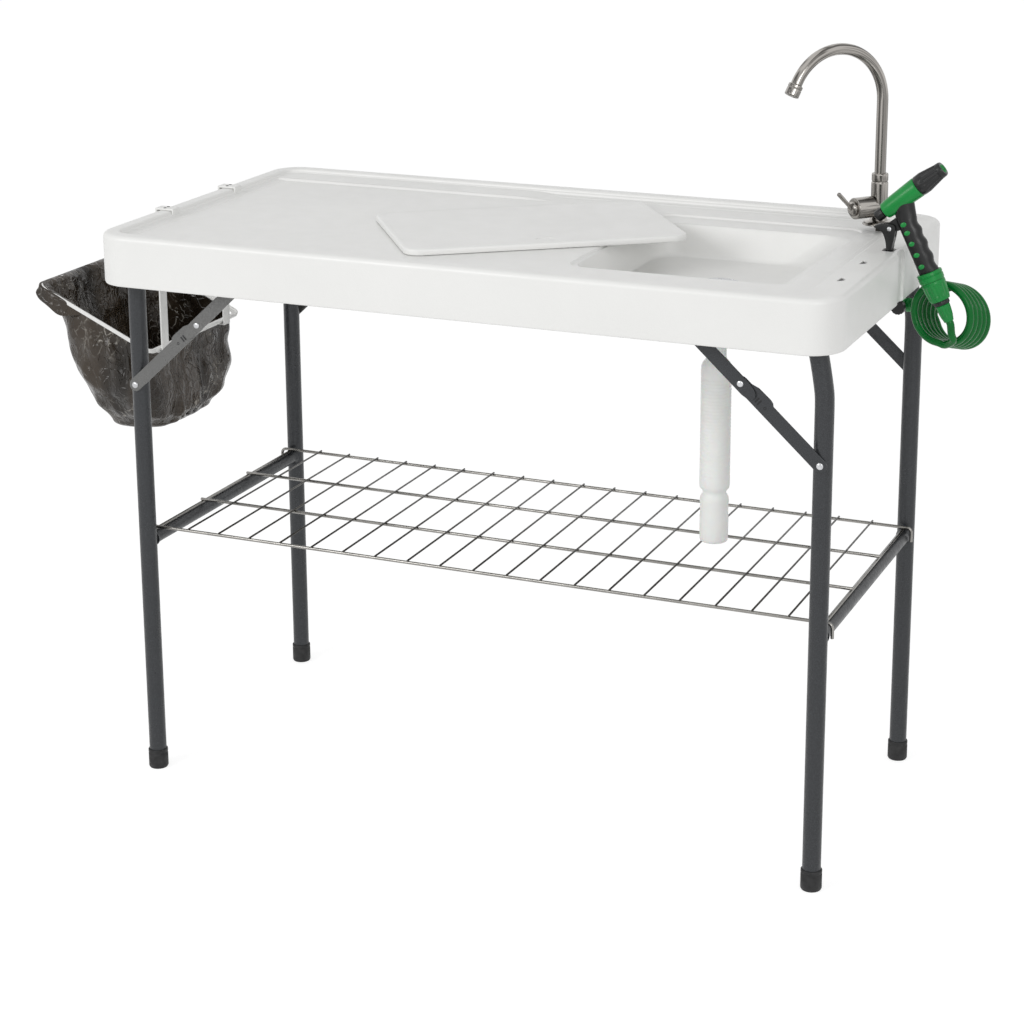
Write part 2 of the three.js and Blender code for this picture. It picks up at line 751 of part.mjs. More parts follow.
// Faucet: body on a flange, shank through the rim, nut below, side valve and high swivel spout
function faucet() {
  const seatZ = topHeight + gap;
  const collarZ = seatZ + faucetBodyHeight;
  const base = at(faucetX, faucetY, 0);
  const sideways = at(Math.cos(spoutTurn * Math.PI / 180), Math.sin(spoutTurn * Math.PI / 180), 0);
  const valveZ = topHeight + valveHeight;
  const valveFrom = at(faucetX, faucetY, valveZ).addScaledVector(sideways, valveStart);
  const valveTo = at(faucetX, faucetY, valveZ).addScaledVector(sideways, valveReach);
  const body = join(
    turned([
      [0, seatZ], [faucetFlangeRadius, seatZ], [faucetFlangeRadius, seatZ + faucetFlangeHeight / 2],
      [faucetBodyRadius, seatZ + faucetFlangeHeight], [faucetBodyRadius, collarZ - gap],
      [0, collarZ - gap],
    ]).translate(base.x, base.y, 0),
    bar(at(faucetX, faucetY, underZ - faucetShankLength), at(faucetX, faucetY, seatZ + overrun),
      faucetShankRadius, 12),
    bar(valveFrom, valveTo, valveRadius, 16),
  );
  const nutTop = at(faucetX, faucetY, underZ - gap);
  const nutBottom = at(faucetX, faucetY, underZ - gap - shankNutHeight);
  const nut = solid(bar(nutBottom, nutTop, shankNutRadius, 6)).subtract(
    solid(bar(nutBottom.clone().setZ(nutBottom.z - overrun), nutTop.clone().setZ(nutTop.z + overrun),
      faucetShankRadius + gap, 12)));
  const points = [at(faucetX, faucetY, collarZ), at(faucetX, faucetY, collarZ + spoutCollarHeight)];
  const arcZ = topHeight + spoutHeight;
  const steps = 12;
  for (let i = 0; i <= steps; i += 1) {
    const angle = THREE.MathUtils.degToRad(spoutSweep * i / steps);
    const out = spoutArc * (1 - Math.cos(angle));
    points.push(at(faucetX, faucetY, arcZ + spoutArc * Math.sin(angle)).addScaledVector(sideways, out));
  }
  const tip = points[points.length - 1];
  const tipWay = tip.clone().sub(points[points.length - 2]).normalize();
  const spout = join(
    tube(points, spoutRadius, 12),
    bar(at(faucetX, faucetY, collarZ), at(faucetX, faucetY, collarZ + spoutCollarHeight),
      spoutCollarRadius, 16),
  );
  const aeratorFrom = tip.clone().addScaledVector(tipWay, gap);
  const aeratorTo = aeratorFrom.clone().addScaledVector(tipWay, aeratorLength);
  const aerator = bar(aeratorFrom, aeratorTo, aeratorRadius, 14);
  const leverFrom = valveTo.clone().addScaledVector(sideways, gap);
  const leverMid = leverFrom.clone().addScaledVector(sideways, leverHubLength);
  const upwards = sideways.clone().multiplyScalar(1 / 2).add(at(0, 0, 1 / 2)).normalize();
  const lever = join(
    bar(leverFrom, leverMid, leverHub, 14),
    bar(leverFrom.clone().lerp(leverMid, 1 / 2), leverMid.clone().addScaledVector(upwards, leverLength),
      leverRadius, 8),
  );
  return [
    part('faucet_body', body, nickel),
    part('faucet_shank_nut', nut, nickel),
    part('faucet_spout', spout, nickel),
    part('spout_aerator', aerator, nickel),
    part('valve_lever', lever, nickel),
  ];
}

// Side view of the trigger as shares of the distance from its pivot to its tip: [across, down]
const triggerOutlineShares = [
  [-0.46, -0.03], [-0.26, -0.12], [0.12, -0.12], [0.17, 0.12], [0.1, 0.5], [0.07, 0.8], [0.02, 0.99],
  [-0.05, 1], [-triggerFootShare, 0.97], [-0.12, 0.86], [-0.08, 0.55], [-0.13, 0.28], [-0.24, 0.08],
];

const handleRoute = new THREE.QuadraticBezierCurve3(handleTop, handleMid, handleEnd);
const hoseEndWay = handleRoute.getTangent(1);

function gunPieces() {
  const tail = barrelTail;
  const along = (from, way, length) => from.clone().addScaledVector(way, length);
  const nose = along(tail, barrelDirection, barrelLength);
  const nozzleFrom = along(nose, barrelDirection, gap);
  const nozzleTo = along(nozzleFrom, barrelDirection, nozzleLength);
  const nozzle = solid(bar(nozzleFrom, nozzleTo, nozzleBaseRadius, 16, nozzleTipRadius)).subtract(
    solid(bar(along(nozzleTo, barrelDirection, -nozzleBoreDepth), along(nozzleTo, barrelDirection, overrun),
      nozzleBore, 10)));
  const knobFrom = along(tail, barrelDirection, -gap);
  const knob = bar(knobFrom, along(knobFrom, barrelDirection, -knobLength), knobRadius, 12);
  const pivot = triggerPivot;
  const grip = tube(handleRoute.getPoints(6), handleRadius, 10);
  const neck = bar(along(tail, barrelDirection, barrelLength / 2), handleTop, handleRadius, 10);
  const tongue = bar(pivot, handleTop, tongueWidth, 6);
  const tongueSlab = block(pivot.x - triggerWidth, handleTop.x, gunY - tongueWidth / 2,
    gunY + tongueWidth / 2, pivot.z - triggerWidth, handleTop.z + triggerWidth);
  const screwHalf = at(0, triggerWidth / 2, 0);
  const screw = bar(pivot.clone().sub(screwHalf), pivot.clone().add(screwHalf), screwRadius, 10);
  const barrelRoom = bar(along(tail, barrelDirection, -overrun), along(nose, barrelDirection, overrun),
    barrelTailRadius + gap, 16, barrelNoseRadius + gap);
  const handle = solid(grip).add(solid(neck)).add(solid(tongue).intersect(solid(tongueSlab)))
    .subtract(solid(barrelRoom)).add(solid(screw));
  return [
    part('gun_barrel', bar(tail, nose, barrelTailRadius, 16, barrelNoseRadius), greenPlastic),
    part('gun_nozzle', nozzle, blackPlastic),
    part('gun_knob', knob, blackPlastic),
    part('gun_handle', handle, blackPlastic),
    part('gun_trigger', trigger(pivot), blackPlastic),
    ...hoseEnd(handleEnd, hoseEndWay),
  ];
}

function trigger(pivot) {
  const span = triggerSpan;
  const shape = new THREE.Shape(triggerOutlineShares.map(([across, down]) => (
    new THREE.Vector2(pivot.x + across * span, pivot.z - down * span))));
  const geometry = new THREE.ExtrudeGeometry(shape, { depth: triggerWidth, bevelEnabled: false });
  geometry.rotateX(Math.PI / 2).translate(0, gunY + triggerWidth / 2, 0);
  const cheekGap = tongueWidth / 2 + gap * 2;
  const slot = block(pivot.x - span / 6, pivot.x + span, gunY - cheekGap, gunY + cheekGap,
    pivot.z - span / 4, pivot.z + span);
  const bore = bar(at(pivot.x, gunY - triggerWidth, pivot.z), at(pivot.x, gunY + triggerWidth, pivot.z),
    screwRadius + gap, 10);
  return solid(geometry).subtract(solid(slot)).subtract(solid(bore));
}

// Collar, quick connector, ring and nut in line below the handle
function hoseEnd(start, way) {
  const pieces = [
    ['gun_collar', gunCollarLength, gunCollarRadius, gunCollarRadius, greenPlastic],
    ['quick_connector', connectorLength, connectorTopRadius, connectorEndRadius, greenPlastic],
    ['connector_ring', gunRingLength, gunRingRadius, gunRingRadius, blackPlastic],
    ['hose_nut', hoseNutLength, hoseNutRadius, hoseNutEndRadius, greenPlastic],
  ];
  const from = start.clone();
  return pieces.map(([name, length, radius, endRadius, material]) => {
    from.addScaledVector(way, gap);
    const to = from.clone().addScaledVector(way, length);
    const mesh = part(name, bar(from, to, radius, 16, endRadius), material);
    from.copy(to);
    return mesh;
  });
}

// Loops of the recoil hose: one unbroken tube with a short straight run at each end
function coilPoints() {
  const turn = THREE.MathUtils.degToRad(coilAxisTurn);
  const length = coilTurns * coilPitch;
  const axis = at(Math.sin(turn) * length, Math.cos(turn) * length, -coilDroop);
  const side = at(Math.cos(turn), -Math.sin(turn), 0);
  const up = at(0, 0, 1);
  const steps = Math.round(coilTurns * coilStepsPerTurn);
  const points = [];
  for (let i = 0; i <= steps; i += 1) {
    const angle = -Math.PI / 2 - 2 * Math.PI * coilTurns * i / steps;
    points.push(coilStart.clone().addScaledVector(axis, i / steps)
      .addScaledVector(side, coilRadius * Math.cos(angle))
      .addScaledVector(up, coilRadius * Math.sin(angle)));
  }
  const run = cordRadius * 2;
  const first = points[0].clone().sub(points[1]).normalize();
  const last = points[points.length - 1].clone().sub(points[points.length - 2]).normalize();
  points.unshift(points[0].clone().addScaledVector(first, run));
  points.push(points[points.length - 1].clone().addScaledVector(last, run));
  return points;
}

// Smooth tube from one end to another, leaving each end along its own direction
function cordTube(from, fromWay, to, toWay, middle, steps) {
  const run = cordRadius * 2;
  const start = from.clone().addScaledVector(fromWay, gap);
  const end = to.clone().addScaledVector(toWay, gap);
  const curve = new THREE.CatmullRomCurve3([
    start.clone().addScaledVector(fromWay, run / 2),
    ...middle,
    end.clone().addScaledVector(toWay, run / 2),
  ]);
  return tube([start, ...curve.getSpacedPoints(steps), end], cordRadius, 8);
}

function leastGap(points) {
  let least = Infinity;
  const apart = Math.round(coilStepsPerTurn / 2);
  points.forEach((point, i) => {
    points.slice(i + apart).forEach((other) => {
      least = Math.min(least, point.distanceTo(other));
    });
  });
  return least - 2 * cordRadius;
}

// Routes of the hoses, chosen by hand: steps from the gun's nut, the splitter's port and the faucet's shank
const leadMiddle = [[3.5, 3, -20], [4.5, 10, -31]];
const tailMiddle = [[37, -16, 7], [29, -8, 12]];
const supplyMiddle = [[1, -2, -22], [8, -16, -38], [22, -37, -47]];

function hoses(nut) {
  const stepsFrom = (start, list) => list.map(([x, y, z]) => at(x, y, z).add(start));
  const coil = coilPoints();
  const nutEnd = nut.from;
  const startWay = coil[0].clone().sub(coil[1]).normalize();
  const endWay = coil[coil.length - 1].clone().sub(coil[coil.length - 2]).normalize();
  const half = at(splitterLength / 2, 0, 0);
  const port = splitterCentre.clone().add(half);
  const inlet = splitterCentre.clone().sub(half);
  const shankEnd = at(faucetX, faucetY, underZ - faucetShankLength);
  console.log('least gap between the hose loops, mm:', leastGap(coil).toFixed(2));
  const lead = cordTube(nutEnd, nut.way, coil[0], startWay, stepsFrom(nutEnd, leadMiddle), 6);
  const tail = cordTube(coil[coil.length - 1], endWay, port, at(1, 0, 0), stepsFrom(port, tailMiddle), 6);
  const supply = cordTube(shankEnd, at(0, 0, -1), inlet, at(-1, 0, 0),
    stepsFrom(shankEnd, supplyMiddle), 8);
  return [
    part('recoil_lead', lead, greenPlastic),
    part('recoil_coil', tube(coil, cordRadius, coilSides), greenPlastic),
    part('recoil_tail', tail, greenPlastic),
    part('supply_tube', supply, blackPlastic),
  ];
}

// Two-way splitter: one inlet, one outlet in line and one capped branch
function splitter() {
  const half = at(splitterLength / 2, 0, 0);
  const branchEnd = splitterCentre.clone().sub(at(0, splitterBranchLength, 0));
  const body = join(
    bar(splitterCentre.clone().sub(half), splitterCentre.clone().add(half), splitterRadius, 14),
    bar(splitterCentre, branchEnd, splitterBranch, 12),
  );
  const capFrom = branchEnd.clone().sub(at(0, gap, 0));
  const cap = bar(capFrom, capFrom.clone().sub(at(0, splitterBranch, 0)), splitterRadius, 12);
  return [part('hose_splitter', body, greenPlastic), part('splitter_cap', cap, blackPlastic)];
}

// Bag holder: flat ring on two straps that hook over the left rim
function bagHolder() {
  const across = ringOuterX - ringInnerX;
  const rise = ringOuterZ - ringInnerZ;
  const length = Math.hypot(across, rise);
  const [half, thick] = [ringHalfWidth, ringBarThickness / 2];
  const ring = surface(solid(roundedPlate(0, length, -half, half, ringCorner, -thick, thick)).subtract(
    solid(roundedPlate(ringBar, length - ringBar, ringBar - half, half - ringBar, ringCorner - ringBar,
      -ringBarThickness, ringBarThickness))));
  ring.rotateY(-Math.atan2(rise, across)).translate(ringInnerX, 0, ringInnerZ);
  const straps = [['front', hangerFrontY], ['back', hangerBackY]].map(([place, y]) => {
    const [y0, y1] = [y - clipWidth / 2, y + clipWidth / 2];
    const outer = -halfLength - gap;
    const lipX = -halfLength + rimLeft + gap;
    const topZ = topHeight + gap;
    const tabZ = ringInnerZ - ringBarThickness / 2 - gap;
    return part(`bag_hanger_${place}`, join(
      block(outer - clipThickness, lipX + clipThickness, y0, y1, topZ, topZ + clipThickness),
      block(outer - clipThickness, outer, y0, y1, tabZ - clipThickness, topZ + clipThickness),
      block(lipX, lipX + clipThickness, y0, y1, topZ - clipLip, topZ + clipThickness),
      block(outer - clipTab, outer, y0, y1, tabZ - clipThickness, tabZ),
    ), white);
  });
  return [part('bag_ring', ring, white), ...straps, part('trash_bag', bag(), bagFilm)];
}

// Levels of the bag: share of the drop, shares of the mouth's reach drawn in, share of its half width
const bagLevelShares = [
  { drop: 0, outer: 0, inner: 0, width: 1 },
  { drop: 0.1, outer: 0, inner: 0, width: 1 },
  { drop: 0.28, outer: 0, inner: 0.02, width: 1.08 },
  { drop: 0.52, outer: 0.07, inner: 0.02, width: 1.06 },
  { drop: 0.75, outer: 0.2, inner: 0.04, width: 0.9 },
  { drop: 0.92, outer: 0.28, inner: 0.1, width: 0.74 },
  { drop: 1, outer: 0.38, inner: 0.2, width: 0.5 },
];

function bag() {
  const slope = (ringOuterZ - ringInnerZ) / (ringOuterX - ringInnerX);
  const inset = ringBar + gap * 2;
  const ring = ({ drop, outer, inner, width }, wall) => {
    const reach = ringInnerX - ringOuterX - 2 * inset;
    const x0 = ringOuterX + inset + outer * reach + wall;
    const x1 = ringInnerX - inset - inner * reach - wall;
    const half = (ringHalfWidth - inset) * width - wall;
    const radius = ringCorner + (half - ringCorner) * drop / 2;
    const floorZ = bagBottomZ + (wall > 0 ? bagThickness : 0);
    return roundedRing(x0, x1, -half, half, Math.min(radius, (x1 - x0) / 2 - gap), 0, 4).map((point) => {
      const mouthZ = ringInnerZ + ringBarThickness + slope * (point.x - ringInnerX);
      return point.setZ(THREE.MathUtils.lerp(mouthZ, floorZ, drop));
    });
  };
  const outside = bagLevelShares.map((level) => ring(level, 0)).reverse();
  const inside = bagLevelShares.map((level) => ring(level, bagThickness));
  return skinned([...outside, ...inside]);
}

const left = { name: 'left', legX: leftLegX, pivotX: leftLegX, hangerX: leftLegX + braceReach };
const right = { name: 'right', legX: rightLegX, pivotX: rightPivotX, hangerX: rightLegX - braceReach };
const hoseEndReach = gunCollarLength + connectorLength + gunRingLength + hoseNutLength + gap * 4;
const nutEnd = {
  from: handleEnd.clone().addScaledVector(hoseEndWay, hoseEndReach),
  way: hoseEndWay,
};

const table = new THREE.Group();
table.position.x = (-ringOuterX - nutEnd.from.x - hoseNutEndRadius) / 2;
table.add(tableTop(), ...drain(), drainHose());
[left, right].forEach((side) => {
  table.add(...legFrame(side));
  table.add(part(`${side.name}_saddle_front`, saddle(side, -saddleY), steel));
  table.add(part(`${side.name}_saddle_back`, saddle(side, saddleY), steel));
  table.add(...brace(side, false), ...brace(side, true));
});
table.add(...shelf(), sinkCover(), ...faucet(), ...gunPieces());
table.add(...hoses(nutEnd), ...splitter(), ...bagHolder());

export default table;
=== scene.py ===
import json
import math

import bmesh
import bpy
from bpy.props import FloatProperty, FloatVectorProperty, PointerProperty
from mathutils import Matrix, Quaternion, Vector, noise

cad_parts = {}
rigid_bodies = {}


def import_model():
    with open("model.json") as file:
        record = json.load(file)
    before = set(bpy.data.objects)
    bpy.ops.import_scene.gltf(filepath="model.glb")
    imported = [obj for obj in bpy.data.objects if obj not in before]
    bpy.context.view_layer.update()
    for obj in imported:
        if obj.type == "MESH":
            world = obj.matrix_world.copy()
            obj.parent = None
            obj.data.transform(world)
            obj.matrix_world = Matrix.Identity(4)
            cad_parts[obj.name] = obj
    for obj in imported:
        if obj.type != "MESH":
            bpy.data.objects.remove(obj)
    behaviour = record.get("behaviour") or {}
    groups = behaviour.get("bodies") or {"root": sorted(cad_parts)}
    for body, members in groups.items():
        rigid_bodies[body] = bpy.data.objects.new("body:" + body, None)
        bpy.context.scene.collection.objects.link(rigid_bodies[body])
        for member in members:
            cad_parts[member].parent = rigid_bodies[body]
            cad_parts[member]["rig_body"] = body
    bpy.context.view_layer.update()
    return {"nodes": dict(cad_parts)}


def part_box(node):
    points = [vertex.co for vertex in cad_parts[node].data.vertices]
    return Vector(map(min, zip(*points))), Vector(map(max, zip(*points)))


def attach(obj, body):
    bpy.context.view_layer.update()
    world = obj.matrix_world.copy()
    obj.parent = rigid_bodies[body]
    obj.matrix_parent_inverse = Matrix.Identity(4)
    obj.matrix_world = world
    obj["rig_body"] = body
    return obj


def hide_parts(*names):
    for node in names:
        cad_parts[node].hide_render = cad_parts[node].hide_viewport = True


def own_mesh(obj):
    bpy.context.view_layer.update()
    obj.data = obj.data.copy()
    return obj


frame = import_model()

bl_info = {
    "name": "Fish Cleaning Table",
    "version": (1, 0, 0),
    "blender": (4, 5, 0),
    "location": "View3D > Sidebar > Fish Table",
    "description": "Builds a folding fish cleaning table with sink, faucet, spray gun and bag holder",
    "category": "Add Mesh",
}

UP = Vector((0, 0, 1))
DOWN = Vector((0, 0, -1))
ALONG = Vector((1, 0, 0))
BACK = Vector((0, 1, 0))
ENDS = (("front", -1), ("back", 1))
QUARTER = math.pi / 2
GAP = 0.0003
WELD = 0.00001

# Table top, read from the frame
top_low, top_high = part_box("table_top")
TABLE_X = (top_low.x + top_high.x) / 2
HALF_LENGTH = (top_high.x - top_low.x) / 2
HALF_WIDTH = top_high.y
TOP_Z = top_high.z
SKIRT_Z = top_low.z
TOP_CORNER = 0.05
SKIRT_WALL = 0.018
DECK_Z = TOP_Z - 0.01
UNDER_Z = DECK_Z - 0.017
RIM_WIDTH = 0.026
RECESS = (RIM_WIDTH - HALF_LENGTH, HALF_LENGTH - 0.054, RIM_WIDTH - HALF_WIDTH, HALF_WIDTH - RIM_WIDTH)
RECESS_CORNER = 0.026

# Sink moulded into the top
SINK_RIGHT = HALF_LENGTH - 0.105
SINK_LEFT = SINK_RIGHT - 0.32
SINK_FRONT = 0.114 - HALF_WIDTH
SINK_BACK = HALF_WIDTH - 0.146
SINK_CORNER = 0.042
LEDGE_Z = DECK_Z - 0.004
LEDGE_WIDTH = 0.046
SINK_LIP = 0.004
FLOOR_Z = DECK_Z - 0.053
SINK_UNDER_Z = FLOOR_Z - 0.011
SINK_WALL = 0.009
SINK_DRAFT = 0.014
SINK_SLOPE = 0.062
DRAIN_X = SINK_RIGHT - 0.156
DRAIN_Y = (SINK_FRONT + SINK_BACK) / 2 + 0.002

# Slots and gun pocket in the right rim
SLOT_X = HALF_LENGTH - 0.03
SLOT_LENGTH = 0.024
SLOT_WIDTH = 0.009
SLOT_ROWS = (-0.175, -0.063)
POCKET_X = HALF_LENGTH - 0.0277
POCKET_WIDTH = 0.022
POCKET_REACH = 0.018
POCKET_DEPTH = 0.018
GROOVE_DEPTH = 0.005
GROOVE_WIDTH = 0.034

# Drain below the sink
DRAIN_BORE = 0.021
DRAIN_HOLE = 0.025
DRAIN_FLANGE = 0.036
DRAIN_NUT = 0.03
DRAIN_NUT_HEIGHT = 0.011
DRAIN_HOSE_LENGTH = 0.372

# Leg frames
PIVOT_Z = TOP_Z - 0.043
LEG_SPREAD = HALF_WIDTH - 0.062
LEG_BEND = 0.032
FOOT_FLOOR = 0.005
FOOT_HEIGHT = 0.032
CROSSBAR_Z = 0.381
SADDLE_Y = LEG_SPREAD - 0.092
SADDLE_WIDTH = 0.026
SADDLE_WALL = 0.002
SADDLE_FLANGE = 0.017
BEND_DROP = 0.102
BEND_SOFTNESS = 0.01

# Folding braces, in three layers outside the legs
BAR_WIDTH = 0.02
BAR_THICKNESS = 0.003
BRACE_DROP = 0.199
BRACE_REACH = 0.216
LOWER_LINK = 0.15535
PIN_RADIUS = 0.0035
HANGER_LENGTH = 0.056
HANGER_TAB = 0.012
HANGER_SHEET = 0.0015
CATCH = ((0.054, 1), (0.0505, 1.3), (0.045, 1.42), (0.022, 1.36), (0.016, 1.15), (0.011, 1))
TONGUE = ((0.012, -1), (0.023, -0.8), (0.028, -0.3), (0.028, 0.2), (0.024, 0.65), (0.016, 0.9), (0.004, 1))
LATCH_SLOTS = ((0.0308, 0.0332), (0.0353, 0.0377))
LATCH_HOLE = 0.0475

# Where each leg frame stands and pivots, and which way its braces lean
SIDES = (
    {"name": "left", "leg": 0.038 - HALF_LENGTH, "pivot": 0.038 - HALF_LENGTH, "reach": BRACE_REACH},
    {"name": "right", "leg": HALF_LENGTH - 0.03, "pivot": HALF_LENGTH - 0.06, "reach": -BRACE_REACH},
)

# Wire shelf
SHELF_OUTER_WIRE = 0.22
SHELF_INNER_WIRE = 0.075
SHELF_PITCH = 0.054
SHELF_WIRES = 19
SHELF_FIRST_WIRE = 0.061
SHELF_CURL = 0.009

# Sink cover
COVER_LENGTH = 0.428
COVER_WIDTH = 0.28
COVER_THICKNESS = 0.01
COVER_CORNER = 0.025
COVER_TURN = math.radians(36)
COVER_PLACE = Vector((SINK_LEFT - 0.146, 0.007, 0))

# Faucet
FAUCET_X = HALF_LENGTH - 0.08
FAUCET_Y = HALF_WIDTH - 0.104
SPOUT_ARC = 0.081
SPOUT_ARC_Z = TOP_Z + 0.1885
SPOUT_RADIUS = 0.0085
SPOUT_SWEEP = math.radians(155)
SPOUT_TURN = math.radians(230.7)
SIDEWAYS = Vector((math.cos(SPOUT_TURN), math.sin(SPOUT_TURN), 0))
COLLAR_Z = TOP_Z + GAP + 0.066
VALVE_Z = TOP_Z + 0.028
VALVE_REACH = 0.046
VALVE_LEVER = 0.036
SHANK_LENGTH = 0.036

# Spray gun, in the upright plane through GUN_Y
GUN_Y = 0.031
BARREL_RISE = math.radians(39.6)
BARREL_LENGTH = 0.062
NOZZLE_LENGTH = 0.044
TRIGGER_SPAN = 0.0497
TRIGGER_WIDTH = 0.015
TONGUE_WIDTH = 0.006
GRIP_STEPS = 24

# Recoil hose
COIL_TURNS = 5.2
COIL_RADIUS = 0.044
COIL_PITCH = 0.0126
COIL_STEPS = 24
COIL_AXIS_TURN = math.radians(16)
COIL_DROOP = 0.018
HOSE_RADIUS = 0.0055
LEAD_STEPS = ((0.0035, 0.003, -0.02), (0.0045, 0.01, -0.031))
TAIL_STEPS = ((0.037, -0.016, 0.007), (0.029, -0.008, 0.012))
SUPPLY_STEPS = ((0.001, -0.002, -0.022), (0.008, -0.016, -0.038), (0.022, -0.037, -0.047))

# Bag holder
RING_THICKNESS = 0.003
RING_BAR = 0.008
RING_CORNER = 0.014
RING_LIP = 0.0025
RING_HALF_WIDTH = 0.142
RING_INNER_X = -HALF_LENGTH - 0.0051
RING_OUTER_X = RING_INNER_X - 0.2059
RING_OUTER_Z = TOP_Z - 0.135
RING_INNER_Z = TOP_Z - 0.227
HANGER_ROWS = (("front", -0.104), ("back", 0.09))
CLIP_WIDTH = 0.02
CLIP_THICKNESS = 0.003
BAG_BOTTOM_Z = TOP_Z - 0.378

# Share of the bag's drop, then how far its outer and inner side come in, and its share of the width
BAG_LEVELS = (
    (0, 0, 0, 1), (0.1, 0.03, 0, 1), (0.28, 0.12, 0, 1.04), (0.52, 0.19, -0.04, 1.06),
    (0.75, 0.27, -0.03, 0.97), (0.92, 0.36, 0.05, 0.78), (1, 0.44, 0.16, 0.46),
)

# Camera and lamps
CAMERA_YAW = -0.4087
CAMERA_PITCH = 0.26295
CAMERA_ROLL = -0.00575
CAMERA_PLACE = (1.40818, -3.30058, 1.636)
LAMP_SIZE = 1.5
KEY_LINE = ((-1.6, -3.0, 2.2), (0.1, 0, 0.6))
FILL_LINE = ((2.4, -2.8, 2.0), (0, 0, 0.7))
FLOOR_HALF = 12
FLOOR_GREY = (0.38, 0.38, 0.38, 1)
FLOOR_GLOW = 0.78
WHITE = (1, 1, 1, 1)


def at(x, y, z):
    """A point given from the middle of the table top's plan and the floor."""
    return Vector((TABLE_X + x, y, z))


def gun_point(out, up):
    """A point of the spray gun, out from the table's right end and up from the rim."""
    return at(HALF_LENGTH + out, GUN_Y, TOP_Z + up)


BARREL_TAIL = gun_point(-0.027, 0.056)
BARREL_WAY = Vector((math.cos(BARREL_RISE), 0, math.sin(BARREL_RISE)))
HANDLE_TOP = gun_point(0.004, 0.048)
HANDLE_MID = gun_point(0.021, 0.014)
HANDLE_END = gun_point(0.04, -0.027)
HOSE_WAY = (HANDLE_END - HANDLE_MID).normalized()
TRIGGER_PIVOT = gun_point(-0.018, 0.032)
FITTINGS = (0.014, 0.03, 0.006, 0.026)
NUT_END = HANDLE_END + HOSE_WAY * (sum(FITTINGS) + len(FITTINGS) * GAP)
SPLITTER = at(HALF_LENGTH - 0.027, FAUCET_Y - 0.05, TOP_Z - 0.108)
SPLITTER_HALF = ALONG * 0.017
SHANK_END = at(FAUCET_X, FAUCET_Y, UNDER_Z - SHANK_LENGTH)


def linear(red, green, blue):
    """Scene colour of a display colour given from 0 to 255."""
    shares = [value / 255 for value in (red, green, blue)]
    return tuple(share / 12.92 if share <= 0.04045 else ((share + 0.055) / 1.055) ** 2.4
                 for share in shares)


def colour_of(name, note, red, green, blue):
    return FloatVectorProperty(name=name, description=note, default=linear(red, green, blue),
                               size=3, min=0, max=1, subtype="COLOR")


def length_of(name, note, default):
    return FloatProperty(name=name, description=note, default=default, min=0, precision=4,
                         unit="LENGTH", subtype="DISTANCE")


class FishTableFinishes(bpy.types.PropertyGroup):
    """Colours of the table's finishes."""
    white: colour_of("White plastic", "Moulded top, sink cover and bag holder", 237, 237, 235)
    paint: colour_of("Leg paint", "Hammered paint of legs and braces", 60, 62, 65)
    # Lighter copy of the leg paint for the left braces: painted light, for the brighter light that falls on
    # them
    left_brace_lit_paint: colour_of("Lit brace paint", "Lighter grey of the left braces", 112, 112, 111)
    # Long and cross wires are one steel in two copies: the long wires' brighter colour is painted highlight,
    # the cross wires' darker colour is painted shade
    wire: colour_of("Shelf wire", "Bright plated long wires of the shelf", 150, 148, 144)
    shaded_cross_wire: colour_of("Cross wire", "Darker cross wires of the shelf", 78, 76, 73)
    nickel: colour_of("Brushed steel", "Faucet", 176, 172, 167)
    zinc: colour_of("Zinc", "Rivets, screws and saddles", 205, 206, 208)
    black: colour_of("Black plastic", "Gun handle, nozzle and fittings", 20, 21, 22)
    green: colour_of("Green plastic", "Gun barrel and hose fittings", 6, 138, 58)
    hose_green: colour_of("Green hose", "Recoil hose", 4, 112, 44)
    milky: colour_of("Drain hose", "Milky plastic of the drain hose", 246, 247, 244)
    film: colour_of("Bag film", "Film of the waste bag", 58, 49, 39)
    # Colour of the painted highlights (glints) on the bag's crinkles, mixed into the film's base colour
    painted_glint: colour_of("Bag crinkles", "Bright crinkles of the waste bag", 176, 171, 162)
    rubber: colour_of("Foot rubber", "Caps on the legs", 24, 24, 25)


class FishTableTop(bpy.types.PropertyGroup):
    """Forms of the moulded top."""
    edge_round: length_of("Edge rounding", "Radius along the outer edge of the rim", 0.008)
    rim_round: length_of("Rim rounding", "Radius along the inner edge of the rim", 0.004)
    ridge_height: length_of("Ridge height", "Height of the step along the back of the deck", 0.0042)
    ridge_place: length_of("Ridge place", "Distance of the step from the middle of the table", 0.224)
    pocket_pitch: length_of("Skirt pocket pitch", "Distance between pockets inside the skirt", 0.046)


class FishTableLegs(bpy.types.PropertyGroup):
    """Tubes and wires below the top."""
    tube: length_of("Leg tube radius", "Radius of the leg tubes", 0.0135)
    crossbar: length_of("Crossbar radius", "Radius of the crossbars", 0.01)
    foot: length_of("Foot radius", "Radius of the rubber feet", 0.0155)
    long_wire: length_of("Long wire radius", "Radius of the shelf's long wires", 0.0025)
    cross_wire: length_of("Cross wire radius", "Radius of the shelf's cross wires", 0.0015)
    tip_drop: length_of("Wire tip drop", "How far the outer wires hang down past the crossbar", 0.022)


class FishTableBag(bpy.types.PropertyGroup):
    """Waste bag on its ring."""
    film: length_of("Film thickness", "Thickness that the film is drawn with", 0.0008)
    cuff: length_of("Cuff", "Length of film folded down over the ring", 0.026)
    crease: length_of("Crease depth", "Depth of the folds in the bag", 0.011)


class FishTableStage(bpy.types.PropertyGroup):
    """Camera and studio."""
    lens: FloatProperty(name="Lens", description="Focal length in millimetres", default=85.134, min=10)
    sensor: FloatProperty(name="Sensor", description="Sensor width in millimetres", default=36, min=1)
    shift: FloatProperty(name="Shift", description="Lens shift that keeps the legs nearly upright",
                         default=-0.15)
    key: FloatProperty(name="Key light", description="Power of the large lamp at the left", default=38, min=0)
    fill: FloatProperty(name="Fill light", description="Power of the lamp at the camera's side",
                        default=26, min=0)
    sky: FloatProperty(name="Ambient", description="Strength of the surrounding white", default=0.6, min=0)


def settings(name):
    return getattr(bpy.context.scene, "fish_table_" + name)


